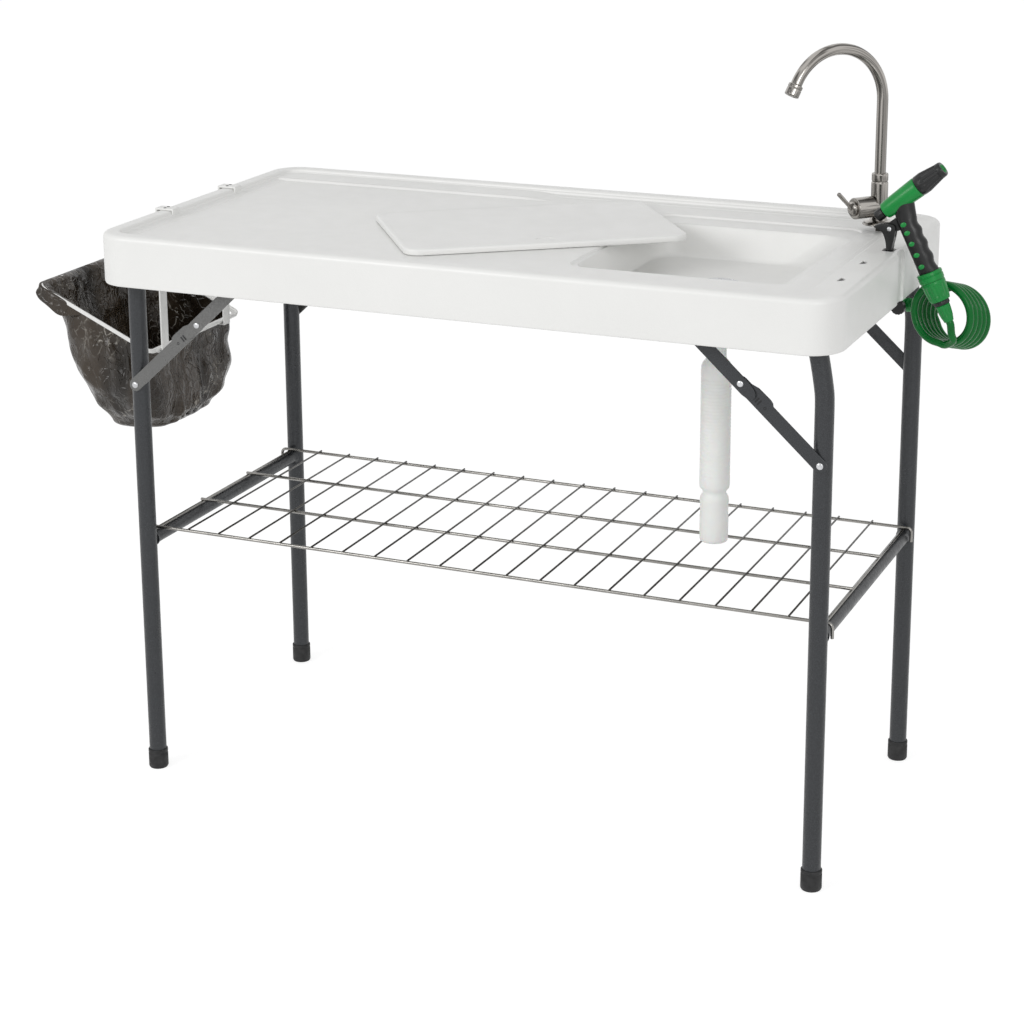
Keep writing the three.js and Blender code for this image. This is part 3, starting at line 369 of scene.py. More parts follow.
def feed(tree, socket, value):
    """Links a socket to another one, or sets its value."""
    if isinstance(value, bpy.types.NodeSocket):
        tree.links.new(value, socket)
    else:
        socket.default_value = value


def add_node(tree, kind, *values, **choices):
    """First output of a new node. The values go to its first inputs, and the choices are its settings."""
    node = tree.nodes.new("ShaderNode" + kind)
    for name, value in choices.items():
        setattr(node, name, value)
    for socket, value in zip(node.inputs, values):
        feed(tree, socket, value)
    return node.outputs[0]


class Surface:
    """A material with one Principled shader, and short calls for its nodes."""

    def __init__(self, name, colour, roughness, **sockets):
        self.material = bpy.data.materials.new(name)
        self.material.use_nodes = True
        self.tree = self.material.node_tree
        self.shader = self.tree.nodes["Principled BSDF"]
        self.colour = self.named(colour)
        self.set("Base Color", self.colour)
        self.set("Roughness", roughness)
        for socket, value in sockets.items():
            self.set(socket.replace("_", " "), value)
        self.place = self.node("TexCoord")["Object"]

    def named(self, colour):
        return (*getattr(settings("finishes"), colour), 1)

    def set(self, socket, value):
        feed(self.tree, self.shader.inputs[socket], value)

    def node(self, kind, **inputs):
        """Outputs of a new node."""
        node = self.tree.nodes.new("ShaderNode" + kind)
        for name, value in inputs.items():
            feed(self.tree, node.inputs[name.replace("_", " ")], value)
        return node.outputs

    def noise(self, scale, detail=3, stretch=(1, 1, 1), roughness=0.5, distortion=0):
        place = self.node("Mapping", Vector=self.place, Scale=stretch)["Vector"]
        return self.node("TexNoise", Vector=place, Scale=scale, Detail=detail,
                         Roughness=roughness, Distortion=distortion)[0]

    def cells(self, place, scale, feature="F1"):
        outputs = self.node("TexVoronoi", Vector=place, Scale=scale)
        outputs["Distance"].node.feature = feature
        return outputs["Distance"]

    def spread(self, value, low, high, start=0.3, end=0.7):
        return self.node("MapRange", Value=value, From_Min=start, From_Max=end,
                         To_Min=low, To_Max=high)["Result"]

    def product(self, first, second):
        return add_node(self.tree, "Math", first, second, operation="MULTIPLY")

    def tint(self, factor, first, second):
        node = self.tree.nodes.new("ShaderNodeMix")
        node.data_type = "RGBA"
        for index, value in ((0, factor), (6, first), (7, second)):
            feed(self.tree, node.inputs[index], value)
        return node.outputs[2]

    def darker(self, share):
        return tuple(channel * share for channel in self.colour[:3]) + (1,)

    def shade(self, value, darkest, start=0.3, end=0.7):
        """Lets the base colour vary between itself and a darker share of it."""
        factor = self.spread(value, 0, 1, start, end)
        self.set("Base Color", self.tint(factor, self.darker(darkest), self.colour))

    def rough(self, value, low, high):
        self.set("Roughness", self.spread(value, low, high))

    def bump(self, height, depth, strength=1):
        normal = self.shader.inputs["Normal"]
        below = {"Normal": normal.links[0].from_socket} if normal.is_linked else {}
        self.set("Normal", self.node("Bump", Height=height, Distance=depth, Strength=strength, **below)[0])


def white_plastic():
    """Blow-moulded white plastic: soft satin, faint cloudiness, pebbled underside pattern."""
    look = Surface("Moulded_white_plastic", "white", 0.36, IOR=1.49)
    look.shade(look.noise(5, 4), 0.965)
    look.rough(look.noise(38, 2), 0.3, 0.44)
    look.bump(look.noise(420, 2), 0.00012)
    parts = look.node("SeparateXYZ", Vector=look.node("NewGeometry")["Normal"])
    below = look.spread(parts["Z"], 1, 0, -0.95, -0.6)
    turned = look.node("Mapping", Vector=look.place, Rotation=(0, 0, QUARTER / 2))["Vector"]
    weave = look.node("TexBrick", Vector=turned, Scale=1, Mortar_Size=0.0035, Mortar_Smooth=0.6,
                      Brick_Width=0.042, Row_Height=0.021, Color1=WHITE, Color2=WHITE, Mortar=(0, 0, 0, 1))
    look.bump(look.product(weave["Fac"], below), 0.0022)
    return look.material


def hammered(name, colour, roughness, metallic, fleck, sheen, dimples):
    """Hammered paint with a metallic fleck."""
    look = Surface(name, colour, roughness, Metallic=metallic)
    scale, darkest = fleck
    look.shade(look.noise(scale, 1), darkest, 0.42, 0.62)
    look.rough(look.noise(60), *sheen)
    scale, depth, strength = dimples
    look.bump(look.cells(look.place, scale, "SMOOTH_F1"), depth, strength)
    return look.material


def metal(name, colour, roughness, scale):
    """Bare or plated metal with fine wear marks."""
    look = Surface(name, colour, roughness, Metallic=1)
    marks = look.noise(scale)
    look.rough(marks, roughness * 0.7, roughness * 1.35)
    look.shade(look.noise(scale / 3, 4), 0.8, 0.38, 0.62)
    look.bump(marks, 0.00003)
    return look.material


def brushed_steel():
    """Polished pipe steel with painted reflections: broad light and dark bands in the base colour that follow
    the direction of the surface.
    """
    look = Surface("Brushed_steel", "nickel", 0.2, Metallic=1)
    facing = look.node("TexCoord")["Normal"]
    # Painted reflections: light and dark bands in the base colour, set by which way the surface faces
    painted_reflection_bands = look.node("TexNoise", Vector=facing, Scale=2.3, Detail=2, Distortion=0.5)[0]
    look.shade(painted_reflection_bands, 0.24, 0.42, 0.57)
    grain = look.noise(420, 2)
    look.rough(grain, 0.16, 0.28)
    look.bump(grain, 0.00002)
    return look.material


def moulded(name, colour, roughness, grain=520, depth=0.00008, mottle=0.85, **sockets):
    """Injection-moulded plastic with a fine grain and slightly uneven sheen."""
    look = Surface(name, colour, roughness, **sockets)
    look.shade(look.noise(45, 4), mottle)
    look.rough(look.noise(110, 2), roughness * 0.8, roughness * 1.25)
    look.bump(look.noise(grain, 2), depth)
    return look.material


def hose_skin():
    """Glossy, slightly clear recoil hose."""
    look = Surface("Green_hose", "hose_green", 0.15, Specular_IOR_Level=0.2)
    look.shade(look.noise(60), 0.8)
    look.rough(look.noise(90, 2), 0.13, 0.24)
    look.bump(look.noise(140, 2), 0.00008)
    return look.material


def bag_film():
    """Thin glossy film: long soft folds with painted shade in their hollows, facets between creases, and
    painted highlights (bright glints) on the crinkles in patches.
    """
    look = Surface("Crumpled_film", "film", 0.22, Specular_IOR_Level=0.4)
    folds = look.noise(11, 2, (1, 1, 0.22), roughness=0.45, distortion=0.6)
    push = look.node("TexNoise", Vector=look.place, Scale=16, Detail=3)["Color"]
    warp = add_node(look.tree, "VectorMath", push, (0.06, 0.06, 0.06), look.place, operation="MULTIPLY_ADD")
    flat = look.node("Mapping", Vector=warp, Scale=(1, 1, 0.6))["Vector"]
    crease = look.spread(look.cells(flat, 78, "DISTANCE_TO_EDGE"), 1, 0, 0, 0.09)
    # Masks of the painted glints: patches, broken into short dashes along the crease lines
    glint_patch = look.spread(look.noise(9), 0, 1, 0.48, 0.6)
    glint_dashes = look.spread(look.noise(110, 2, (1, 1, 0.6)), 0, 1, 0.48, 0.6)
    look.bump(folds, 0.03, 0.9)
    look.bump(look.cells(flat, 30), 0.006, 0.7)
    look.bump(crease, 0.001, 0.6)
    # Painted shade: the film's colour goes darker in the hollows of the long folds
    body = look.tint(look.spread(folds, 0, 1, 0.4, 0.6), look.darker(0.3), look.colour)
    # Painted highlights: the bright glint colour is mixed into the base colour along the crease lines
    painted_glint_mask = look.product(look.product(crease, glint_patch), look.product(glint_dashes, 0.85))
    look.set("Base Color", look.tint(painted_glint_mask, body, look.named("painted_glint")))
    look.rough(look.noise(70), 0.14, 0.3)
    return look.material


MAKERS = {
    "white_plastic": white_plastic,
    "leg_paint": lambda: hammered("Hammered_leg_paint", "paint", 0.34, 0.3, (900, 0.6), (0.26, 0.42),
                                  (260, 0.0005, 0.7)),
    # Lighter copy of the leg paint for the left braces: painted light
    "lit_left_brace_paint": lambda: hammered("Brace_paint_painted_light", "left_brace_lit_paint", 0.3, 0.4, (700, 0.78), (0.24, 0.38),
                                   (300, 0.0003, 0.6)),
    # Two copies of one wire steel: brighter for painted highlight on the long wires, darker for painted shade
    # on the cross wires
    "wire": lambda: metal("Shelf_wire_painted_highlight", "wire", 0.24, 90),
    "shaded_cross_wire": lambda: metal("Cross_wire", "shaded_cross_wire", 0.3, 90),
    "nickel": brushed_steel,
    "zinc": lambda: metal("Zinc_plate", "zinc", 0.3, 240),
    "black_plastic": lambda: moulded("Black_plastic", "black", 0.34, Specular_IOR_Level=0.4),
    "green_plastic": lambda: moulded("Green_plastic", "green", 0.3, Specular_IOR_Level=0.36),
    "hose_green": hose_skin,
    "hose_plastic": lambda: moulded("Milky_plastic", "milky", 0.42, 300, 0.00006, 0.96,
                                    Subsurface_Weight=0.15, Subsurface_Scale=0.01),
    "bag_film": bag_film,
    "foot_rubber": lambda: moulded("Foot_rubber", "rubber", 0.62, 380, 0.0002, 0.8),
}
made = {}


def finish(name):
    if name not in made:
        made[name] = MAKERS[name]()
    return made[name]


def body_of(node):
    return frame["nodes"][node]["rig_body"]


def turns(start, sweep, steps):
    """Angles from a start through a sweep, both ends included."""
    return [start + sweep * step / steps for step in range(steps + 1)]


def around(sides):
    """Angles of a full turn, without its end."""
    return turns(0, 2 * math.pi, sides)[:-1]


def joined(*shapes):
    """Several shapes, each a list of points and a list of faces, as one."""
    points, faces = [], []
    for more_points, more_faces in shapes:
        faces += [tuple(index + len(points) for index in face) for face in more_faces]
        points += more_points
    return points, faces


def loft(rings, closed=False, caps=True):
    """Skin over rings with the same number of points each."""
    count = len(rings[0])
    faces = []
    for level in range(len(rings) if closed else len(rings) - 1):
        low, high = level * count, (level + 1) % len(rings) * count
        for i in range(count):
            j = (i + 1) % count
            faces.append((low + i, low + j, high + j, high + i))
    if caps and not closed:
        last = (len(rings) - 1) * count
        faces += [tuple(reversed(range(count))), tuple(range(last, last + count))]
    return [point for ring in rings for point in ring], faces


def bend(start, corner, end, steps):
    """Points of a curve from start to end that is drawn towards a corner."""
    shares = [step / steps for step in range(steps + 1)]
    return [start.lerp(corner, t).lerp(corner.lerp(end, t), t) for t in shares]


def soften(profile, radius):
    """The same line of (across, along) points with its inner corners rounded."""
    points = [Vector(step) for step in profile]
    line = [points[0]]
    for before, here, after in zip(points, points[1:], points[2:]):
        back, on = before - here, after - here
        reach = min(radius, back.length / 2, on.length / 2)
        line += bend(here + back.normalized() * reach, here, here + on.normalized() * reach, 3)
    return line + [points[-1]]


def rounded_corner(before, middle, after, radius, steps=8):
    """Points that round the corner at middle."""
    back, on = (before - middle).normalized(), (after - middle).normalized()
    reach = radius / math.tan(back.angle(on) / 2)
    return bend(middle + back * reach, middle, middle + on * reach, steps)


def lathe(profile, base, way=UP, sides=40, flutes=None, beyond=0, closed=False):
    """Turned shape of (radius, height) steps along way. Flutes are (count, depth, low, high)."""
    turn = way.to_track_quat("Z", "Y")
    rings = []
    for radius, height in profile:
        ring = []
        for angle in around(sides):
            reach = radius
            if flutes and flutes[2] <= height <= flutes[3] and radius >= beyond:
                reach -= flutes[1] * (1 - math.cos(flutes[0] * angle)) / 2
            ring.append(base + turn @ Vector((reach * math.cos(angle), reach * math.sin(angle), height)))
        rings.append(ring)
    return loft(rings, closed)


def sections(route, section, up=UP):
    """Rings of a section carried along a route without twisting."""
    ways = []
    for i in range(len(route)):
        before, after = route[max(i - 1, 0)], route[min(i + 1, len(route) - 1)]
        ways.append((after - before).normalized())
    across = ways[0].cross(up)
    if across.length < WELD:
        across = ways[0].cross(ALONG)
    across.normalize()
    rings = []
    for i, (point, way) in enumerate(zip(route, ways)):
        if i:
            across = ways[i - 1].rotation_difference(way) @ across
        rise = across.cross(way)
        rings.append([point + across * u + rise * v for u, v in section(i / (len(route) - 1))])
    return rings


def tube(route, radius, sides=24):
    outline = [(radius * math.cos(angle), radius * math.sin(angle)) for angle in around(sides)]
    return loft(sections(route, lambda share: outline))


def prism(outline, depth):
    """Plate with the given outline of points, as thick as the vector depth."""
    return loft([outline, [point + depth for point in outline]])


def smooth_line(points, steps, closed=False):
    """Catmull-Rom line through points."""
    count = len(points)
    line = []
    for i in range(count if closed else count - 1):
        near = [i + shift for shift in (-1, 0, 1, 2)]
        a, b, c, d = (points[j % count if closed else min(max(j, 0), count - 1)] for j in near)
        for step in range(steps):
            t = step / steps
            line.append(((b * 2) + (c - a) * t + (a * 2 - b * 5 + c * 4 - d) * t ** 2
                         + (b * 3 - a - c * 3 + d) * t ** 3) / 2)
    return line if closed else line + [points[-1]]


def ring(rect, radius, z, corner_steps=8, side_steps=0):
    """Level ring of points round a rounded rectangle (x0, x1, y0, y1)."""
    x0, x1, y0, y1 = rect
    radius = min(radius, (x1 - x0) / 2, (y1 - y0) / 2)
    centres = ((x1 - radius, y1 - radius), (x0 + radius, y1 - radius),
               (x0 + radius, y0 + radius), (x1 - radius, y0 + radius))
    arcs = [[at(x + radius * math.cos(a), y + radius * math.sin(a), z)
             for a in turns(corner * QUARTER, QUARTER, corner_steps)]
            for corner, (x, y) in enumerate(centres)]
    points = []
    for corner, arc in enumerate(arcs):
        start = arcs[(corner + 1) % 4][0]
        points += arc
        points += [arc[-1].lerp(start, (i + 1) / (side_steps + 1)) for i in range(side_steps)]
    return points


def shrunk(rect, amount):
    x0, x1, y0, y1 = rect
    return x0 + amount, x1 - amount, y0 + amount, y1 - amount


def between(first, second, share):
    return tuple(a + (b - a) * share for a, b in zip(first, second))


def block(x0, x1, y0, y1, z0, z1):
    return prism([at(x0, y0, z0), at(x1, y0, z0), at(x1, y1, z0), at(x0, y1, z0)], UP * (z1 - z0))


def placed(name, data):
    obj = bpy.data.objects.new(name, data)
    bpy.context.scene.collection.objects.link(obj)
    return obj


def solid(name, shape):
    """Object with a shape's mesh, welded and with its faces turned outwards."""
    points, faces = shape
    mesh = bpy.data.meshes.new(name)
    mesh.from_pydata([tuple(point) for point in points], [], faces)
    work = bmesh.new()
    work.from_mesh(mesh)
    bmesh.ops.remove_doubles(work, verts=work.verts, dist=WELD)
    bmesh.ops.dissolve_degenerate(work, edges=work.edges, dist=WELD / 2)
    bmesh.ops.recalc_face_normals(work, faces=work.faces)
    work.to_mesh(mesh)
    work.free()
    return placed(name, mesh)


def modified(obj, kind, **choices):
    """Adds a modifier with its settings to the object."""
    change = obj.modifiers.new(kind.capitalize(), kind)
    for name, value in choices.items():
        setattr(change, name, value)


def baked(obj):
    """Applies the object's modifiers to its mesh."""
    graph = bpy.context.evaluated_depsgraph_get()
    mesh = bpy.data.meshes.new_from_object(obj.evaluated_get(graph))
    obj.modifiers.clear()
    obj.data = mesh


def carved(obj, shape, operation="DIFFERENCE"):
    """Cuts a shape out of the object, or joins it on."""
    tool = solid(obj.name + "_tool", shape)
    modified(obj, "BOOLEAN", operation=operation, solver="EXACT", object=tool)
    baked(obj)
    bpy.data.objects.remove(tool)


def dressed(obj, look, nodes, body=None):
    """Gives an object its finish, the body that it rides on and the nodes that it replaces."""
    obj.data.materials.clear()
    obj.data.materials.append(finish(look))
    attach(obj, body or body_of(nodes[0]))
    if nodes:
        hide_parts(*nodes)
    return obj


def piece(name, shape, look, *nodes, body=None, bevel=0, sharp=35, even=False, changes=None):
    """One visible piece. It stands for the nodes given, or else for the node of its own name."""
    if not nodes and name.lower() in frame["nodes"]:
        nodes = (name.lower(),)
    obj = solid(name, shape)
    if changes:
        changes(obj)
    if bevel:
        modified(obj, "BEVEL", width=bevel, segments=3, limit_method="ANGLE", angle_limit=math.radians(30))
        baked(obj)
    obj.data.shade_smooth()
    obj.data.set_sharp_from_angle(angle=math.radians(sharp))
    if even:
        modified(obj, "WEIGHTED_NORMAL", keep_sharp=True)
        baked(obj)
    return dressed(obj, look, nodes, body)


def hose(name, line, look, *nodes):
    """Round cord along a line, as a curve of one spline."""
    data = bpy.data.curves.new(name, "CURVE")
    data.dimensions = "3D"
    data.bevel_depth = HOSE_RADIUS
    data.bevel_resolution = 6
    data.use_fill_caps = True
    spline = data.splines.new("POLY")
    spline.points.add(len(line) - 1)
    for target, point in zip(spline.points, line):
        target.co = (*point, 1)
    return dressed(placed(name, data), look, nodes)


def coil_line():
    """Loops of the recoil hose with a short straight run at each end."""
    length = COIL_TURNS * COIL_PITCH
    cos, sin = math.cos(COIL_AXIS_TURN), math.sin(COIL_AXIS_TURN)
    axis = Vector((sin * length, cos * length, -COIL_DROOP))
    side = Vector((cos, -sin, 0))
    start = at(HALF_LENGTH + 0.053, GUN_Y + 0.025, TOP_Z - 0.093)
    angles = turns(-QUARTER, -2 * math.pi * COIL_TURNS, round(COIL_TURNS * COIL_STEPS))
    points = [start + axis * (i / (len(angles) - 1)) + (side * math.cos(a) + UP * math.sin(a)) * COIL_RADIUS
              for i, a in enumerate(angles)]
    first = (points[0] - points[1]).normalized() * HOSE_RADIUS * 2
    last = (points[-1] - points[-2]).normalized() * HOSE_RADIUS * 2
    return [points[0] + first] + points + [points[-1] + last]


class FISHTABLE_OT_stage(bpy.types.Operator):
    """Camera, floor, backdrop and studio light"""
    bl_idname = "fish_table.stage"
    bl_label = "Stage"

    def execute(self, context):
        stage, scene = settings("stage"), context.scene
        scene.view_settings.view_transform = "Standard"
        scene.camera = add_camera(stage)
        scene.world = bpy.data.worlds.new("Studio")
        scene.world.use_nodes = True
        tree = scene.world.node_tree
        surround = tree.nodes["Background"]
        surround.inputs["Color"].default_value = WHITE
        surround.inputs["Strength"].default_value = stage.sky
        seen = add_node(tree, "Background", WHITE, 1)
        mix = add_node(tree, "MixShader", seen_rays(tree), surround.outputs[0], seen)
        feed(tree, tree.nodes["World Output"].inputs[0], mix)
        add_floor()
        add_lamp("Key", *KEY_LINE, stage.key)
        add_lamp("Fill", *FILL_LINE, stage.fill)
        return {"FINISHED"}


def add_camera(stage):
    data = bpy.data.cameras.new("Camera")
    data.lens = stage.lens
    data.sensor_width = stage.sensor
    data.sensor_fit = "HORIZONTAL"
    data.shift_y = stage.shift
    data.clip_start = 0.05
    forward = Vector((math.sin(CAMERA_YAW) * math.cos(CAMERA_PITCH),
                      math.cos(CAMERA_YAW) * math.cos(CAMERA_PITCH), -math.sin(CAMERA_PITCH)))
    right = Vector((math.cos(CAMERA_YAW), -math.sin(CAMERA_YAW), 0))
    rise = right.cross(forward)
    across = right * math.cos(CAMERA_ROLL) + rise * math.sin(CAMERA_ROLL)
    rise = rise * math.cos(CAMERA_ROLL) - right * math.sin(CAMERA_ROLL)
    turn = Matrix((across, rise, -forward)).transposed()
    camera = placed("Camera", data)
    camera.matrix_world = Matrix.Translation(at(*CAMERA_PLACE)) @ turn.to_4x4()
    return camera


def seen_rays(tree):
    """One where the camera, a glossy or a transmission ray looks."""
    rays = tree.nodes.new("ShaderNodeLightPath").outputs
    value = rays["Is Camera Ray"]
    for kind in ("Is Glossy Ray", "Is Transmission Ray"):
        value = add_node(tree, "Math", value, rays[kind], operation="MAXIMUM")
    return value


def add_floor():
    """Floor that looks white, keeps a faint shadow and can't be seen from below."""
    mesh = bpy.data.meshes.new("Floor")
    corners = [(x * FLOOR_HALF, y * FLOOR_HALF, 0) for x, y in ((-1, -1), (1, -1), (1, 1), (-1, 1))]
    mesh.from_pydata(corners, [], [(0, 1, 2, 3)])
    material = bpy.data.materials.new("Studio_floor")
    material.use_nodes = True
    tree = material.node_tree
    hidden = tree.nodes["Principled BSDF"]
    for socket, value in (("Base Color", (0.8, 0.8, 0.8, 1)), ("Roughness", 0.9), ("Specular IOR Level", 0.1)):
        hidden.inputs[socket].default_value = value
    soft = add_node(tree, "BsdfDiffuse", FLOOR_GREY)
    glow = add_node(tree, "Emission", WHITE, FLOOR_GLOW)
    both = add_node(tree, "AddShader", soft, glow)
    above = add_node(tree, "MixShader", seen_rays(tree), hidden.outputs[0], both)
    below = tree.nodes.new("ShaderNodeNewGeometry").outputs["Backfacing"]
    sided = add_node(tree, "MixShader", below, above, add_node(tree, "BsdfTransparent"))
    feed(tree, tree.nodes["Material Output"].inputs[0], sided)
    mesh.materials.append(material)
    placed("Floor", mesh)


def add_lamp(name, place, target, power):
    data = bpy.data.lights.new(name, "AREA")
    data.size = LAMP_SIZE
    data.energy = power
    lamp = placed(name, data)
    lamp.location = place
    lamp.rotation_euler = (Vector(target) - Vector(place)).to_track_quat("-Z", "Y").to_euler()


class FISHTABLE_OT_hoses(bpy.types.Operator):
    """Recoil hose from the gun to the splitter, and the supply tube to the faucet"""
    bl_idname = "fish_table.hoses"
    bl_label = "Hoses"

    def execute(self, context):
        port, inlet = SPLITTER + SPLITTER_HALF, SPLITTER - SPLITTER_HALF
        lead = [NUT_END, NUT_END + HOSE_WAY * HOSE_RADIUS]
        lead += [NUT_END + Vector(step) for step in LEAD_STEPS]
        tail = [port + Vector(step) for step in TAIL_STEPS] + [port + ALONG * HOSE_RADIUS, port]
        line = smooth_line(lead + coil_line() + tail, 3)
        recoil = hose("Recoil_hose", line, "hose_green", "recoil_lead", "recoil_coil", "recoil_tail")
        supply = [SHANK_END, SHANK_END + DOWN * HOSE_RADIUS]
        supply += [SHANK_END + Vector(step) for step in SUPPLY_STEPS]
        supply += [inlet - ALONG * HOSE_RADIUS, inlet]
        line = smooth_line(supply, 5)
        supply_tube = hose("Supply_tube", line, "black_plastic", "supply_tube")
        return {"FINISHED"}


def screw_head(base, way, radius=0.0042, height=0.0022):
    """Domed screw head with a round recess."""
    profile = [(0, 0), (1, 0), (1, 0.25), (0.86, 0.65), (0.55, 0.95), (0.38, 1), (0.34, 0.55), (0, 0.5)]
    return lathe([(radius * across, height * up) for across, up in profile], base, way, 24)


def rivet_head(base, way, radius, height):
    profile = [(1, 0.2), (0.92, 0.5), (0.7, 0.8), (0.4, 0.96), (0, 1)]
    return lathe([(0, -0.0004), (radius, -0.0004)] + [(radius * across, height * up) for across, up in profile],
                 base, way, 28)


class FISHTABLE_OT_top(bpy.types.Operator):
    """Moulded top with rim, deck, sink, slots and gun pocket"""
    bl_idname = "fish_table.top"
    bl_label = "Top"

    def execute(self, context):
        piece("Moulded_top", loft(top_rings(), closed=True), "white_plastic", "table_top",
              sharp=28, even=True, changes=top_cuts)
        for word, y in zip(("front", "middle"), SLOT_ROWS):
            # Thin black sheet inside each slot: painted shade, standing in for the dark of the slot's hollow
            shade = finger_slot(y, TOP_Z - UNDER_Z - 0.0028, 0.001)
            piece("Slot_shade_" + word, shade, "black_plastic", body="top")
        return {"FINISHED"}


def top_rings():
    """Rings of the top's skin: up the skirt, over the rim, through the sink and back below."""
    form = settings("top")
    outer = (-HALF_LENGTH, HALF_LENGTH, -HALF_WIDTH, HALF_WIDTH)
    opening = (SINK_LEFT, SINK_RIGHT, SINK_FRONT, SINK_BACK)
    floor = (SINK_LEFT + SINK_DRAFT, SINK_RIGHT - SINK_SLOPE, SINK_FRONT + SINK_DRAFT, SINK_BACK - SINK_DRAFT)
    ledge = (*shrunk(opening, -SINK_LIP)[:3], SINK_BACK + LEDGE_WIDTH)
    edge, soft = form.edge_round, form.rim_round
    centre = at(DRAIN_X, DRAIN_Y, 0)

    def rims(rect, corner, steps):
        return [ring(shrunk(rect, inset), max(corner - inset, 0.004), z) for inset, z in steps]

    rings = rims(outer, TOP_CORNER, ((0.003, SKIRT_Z), (0.0009, SKIRT_Z + 0.0009), (0, SKIRT_Z + 0.003)))
    rings += rims(outer, TOP_CORNER, [(edge * (1 - math.cos(a)), TOP_Z - edge * (1 - math.sin(a)))
                                      for a in turns(0, QUARTER, 6)])
    rings += rims(RECESS, RECESS_CORNER, [(soft * (math.sin(a) - 1), TOP_Z - soft * (1 - math.cos(a)))
                                          for a in turns(0, QUARTER, 4)])
    rings += rims(RECESS, RECESS_CORNER, [(inset, DECK_Z + rise) for inset, rise in (
        (0.0025, 0.0045), (0.0035, 0.0021), (0.0052, 0.001), (0.0075, 0.0007), (0.0165, 0.0007), (0.0178, 0))])
    rings += rims(ledge, RECESS_CORNER, [(inset, DECK_Z - drop) for inset, drop in (
        (-0.002, 0), (-0.0008, 0.0006), (0.0008, 0.0034), (0.002, 0.004))])
    rings += [ring(between(opening, floor, share), SINK_CORNER, (LEDGE_Z if share < 0.5 else FLOOR_Z) - drop)
              for share, drop in (
                  (-0.12, 0), (-0.02, 0.0006), (0.06, 0.0022), (0.13, 0.0055), (0.82, -0.0125),
                  (0.9, -0.0072), (1.02, -0.0034), (1.2, -0.0009), (1.45, 0))]
    ways = [Vector((point.x - centre.x, point.y - centre.y, 0)).normalized() for point in rings[-1]]
    rings += [[centre + way * radius + UP * z for way in ways] for radius, z in (
        (0.041, FLOOR_Z), (DRAIN_HOLE, FLOOR_Z), (DRAIN_HOLE, SINK_UNDER_Z), (DRAIN_NUT + 0.002, SINK_UNDER_Z))]
    rings += [ring(shrunk(between(opening, floor, share), -SINK_WALL), SINK_CORNER, z) for share, z in (
        (0.97, SINK_UNDER_Z), (0.9, SINK_UNDER_Z + 0.002), (0.86, SINK_UNDER_Z + 0.007),
        (0.12, UNDER_Z - 0.006), (0.06, UNDER_Z - 0.0015), (-0.12, UNDER_Z))]
    rings += rims(outer, TOP_CORNER, [(SKIRT_WALL + inset, z) for inset, z in (
        (0.007, UNDER_Z), (0.002, UNDER_Z - 0.0015), (0, UNDER_Z - 0.007), (0, SKIRT_Z + 0.002),
        (-0.002, SKIRT_Z))])
    return rings


def top_cuts(obj):
    """Ridge along the back, slots, gun pocket and groove, and the pockets inside the skirt."""
    form = settings("top")
    carved(obj, ridge(form), "UNION")
    over = 0.004
    tools = [finger_slot(y, -over, TOP_Z - UNDER_Z + 2 * over) for y in SLOT_ROWS]
    for start, end, width, corner, low in (
            (POCKET_X, POCKET_X + POCKET_REACH, POCKET_WIDTH, 0.004, TOP_Z - POCKET_DEPTH),
            (HALF_LENGTH - GROOVE_DEPTH, HALF_LENGTH + 2 * GROOVE_DEPTH, GROOVE_WIDTH, 0.0045, SKIRT_Z - over)):
        rect = (start, end, GUN_Y - width / 2, GUN_Y + width / 2)
        tools.append(loft([ring(rect, corner, z, 5) for z in (low, TOP_Z + over)]))
    carved(obj, joined(*tools))
    carved(obj, joined(*skirt_pockets(form.pocket_pitch)))


def ridge(form):
    """Long step along the back of the deck that runs out towards the sink."""
    left, end, height = RECESS[0] + 0.0015, -0.043, form.ridge_height
    front, back = form.ridge_place, RECESS[3] - 0.0005
    rings = []
    for x, rise in ((left, height), (end - 0.06, height), (end - 0.04, height * 0.85),
                    (end - 0.02, height * 0.45), (end, -0.0004)):
        line = ((front - 0.0035, -0.0015), (front - 0.002, 0), (front, rise * 0.75),
                (front + 0.002, rise), (back, rise), (back + 0.004, rise * 0.6), (back + 0.004, -0.0015))
        rings.append([at(x, y, DECK_Z + z) for y, z in line])
    return loft(rings)


def finger_slot(y, low, height):
    """Half-moon of one tool slot, from a height above the deck's underside."""
    near, z = SLOT_X - SLOT_WIDTH / 2, UNDER_Z + low
    outline = bend(at(near, y - SLOT_LENGTH / 2, z), at(SLOT_X + SLOT_WIDTH * 3 / 2, y, z),
                   at(near, y + SLOT_LENGTH / 2, z), 12)
    return prism(outline, UP * height)


def skirt_pockets(pitch):
    """Blocks that press a row of pockets into the inside of each wall of the skirt."""
    low, high = SKIRT_Z + 0.014, SKIRT_Z + 0.04
    half = pitch * 0.29
    wall_x, wall_y = HALF_LENGTH - SKIRT_WALL, HALF_WIDTH - SKIRT_WALL
    pockets = []
    for reach, wall, depth in ((wall_x, wall_y, 0.009), (wall_y, wall_x, 0.006)):
        count = int((reach - TOP_CORNER) / pitch)
        for middle in (i * pitch for i in range(-count, count + 1)):
            for sign in (-1, 1):
                span = (middle - half, middle + half)
                across = sorted((sign * (wall - 0.004), sign * (wall + depth)))
                if wall == wall_y:
                    pockets.append(block(*span, *across, low, high))
                elif sign < 0 or abs(middle - GUN_Y) > GROOVE_WIDTH:
                    pockets.append(block(*across, *span, low, high))
    return pockets


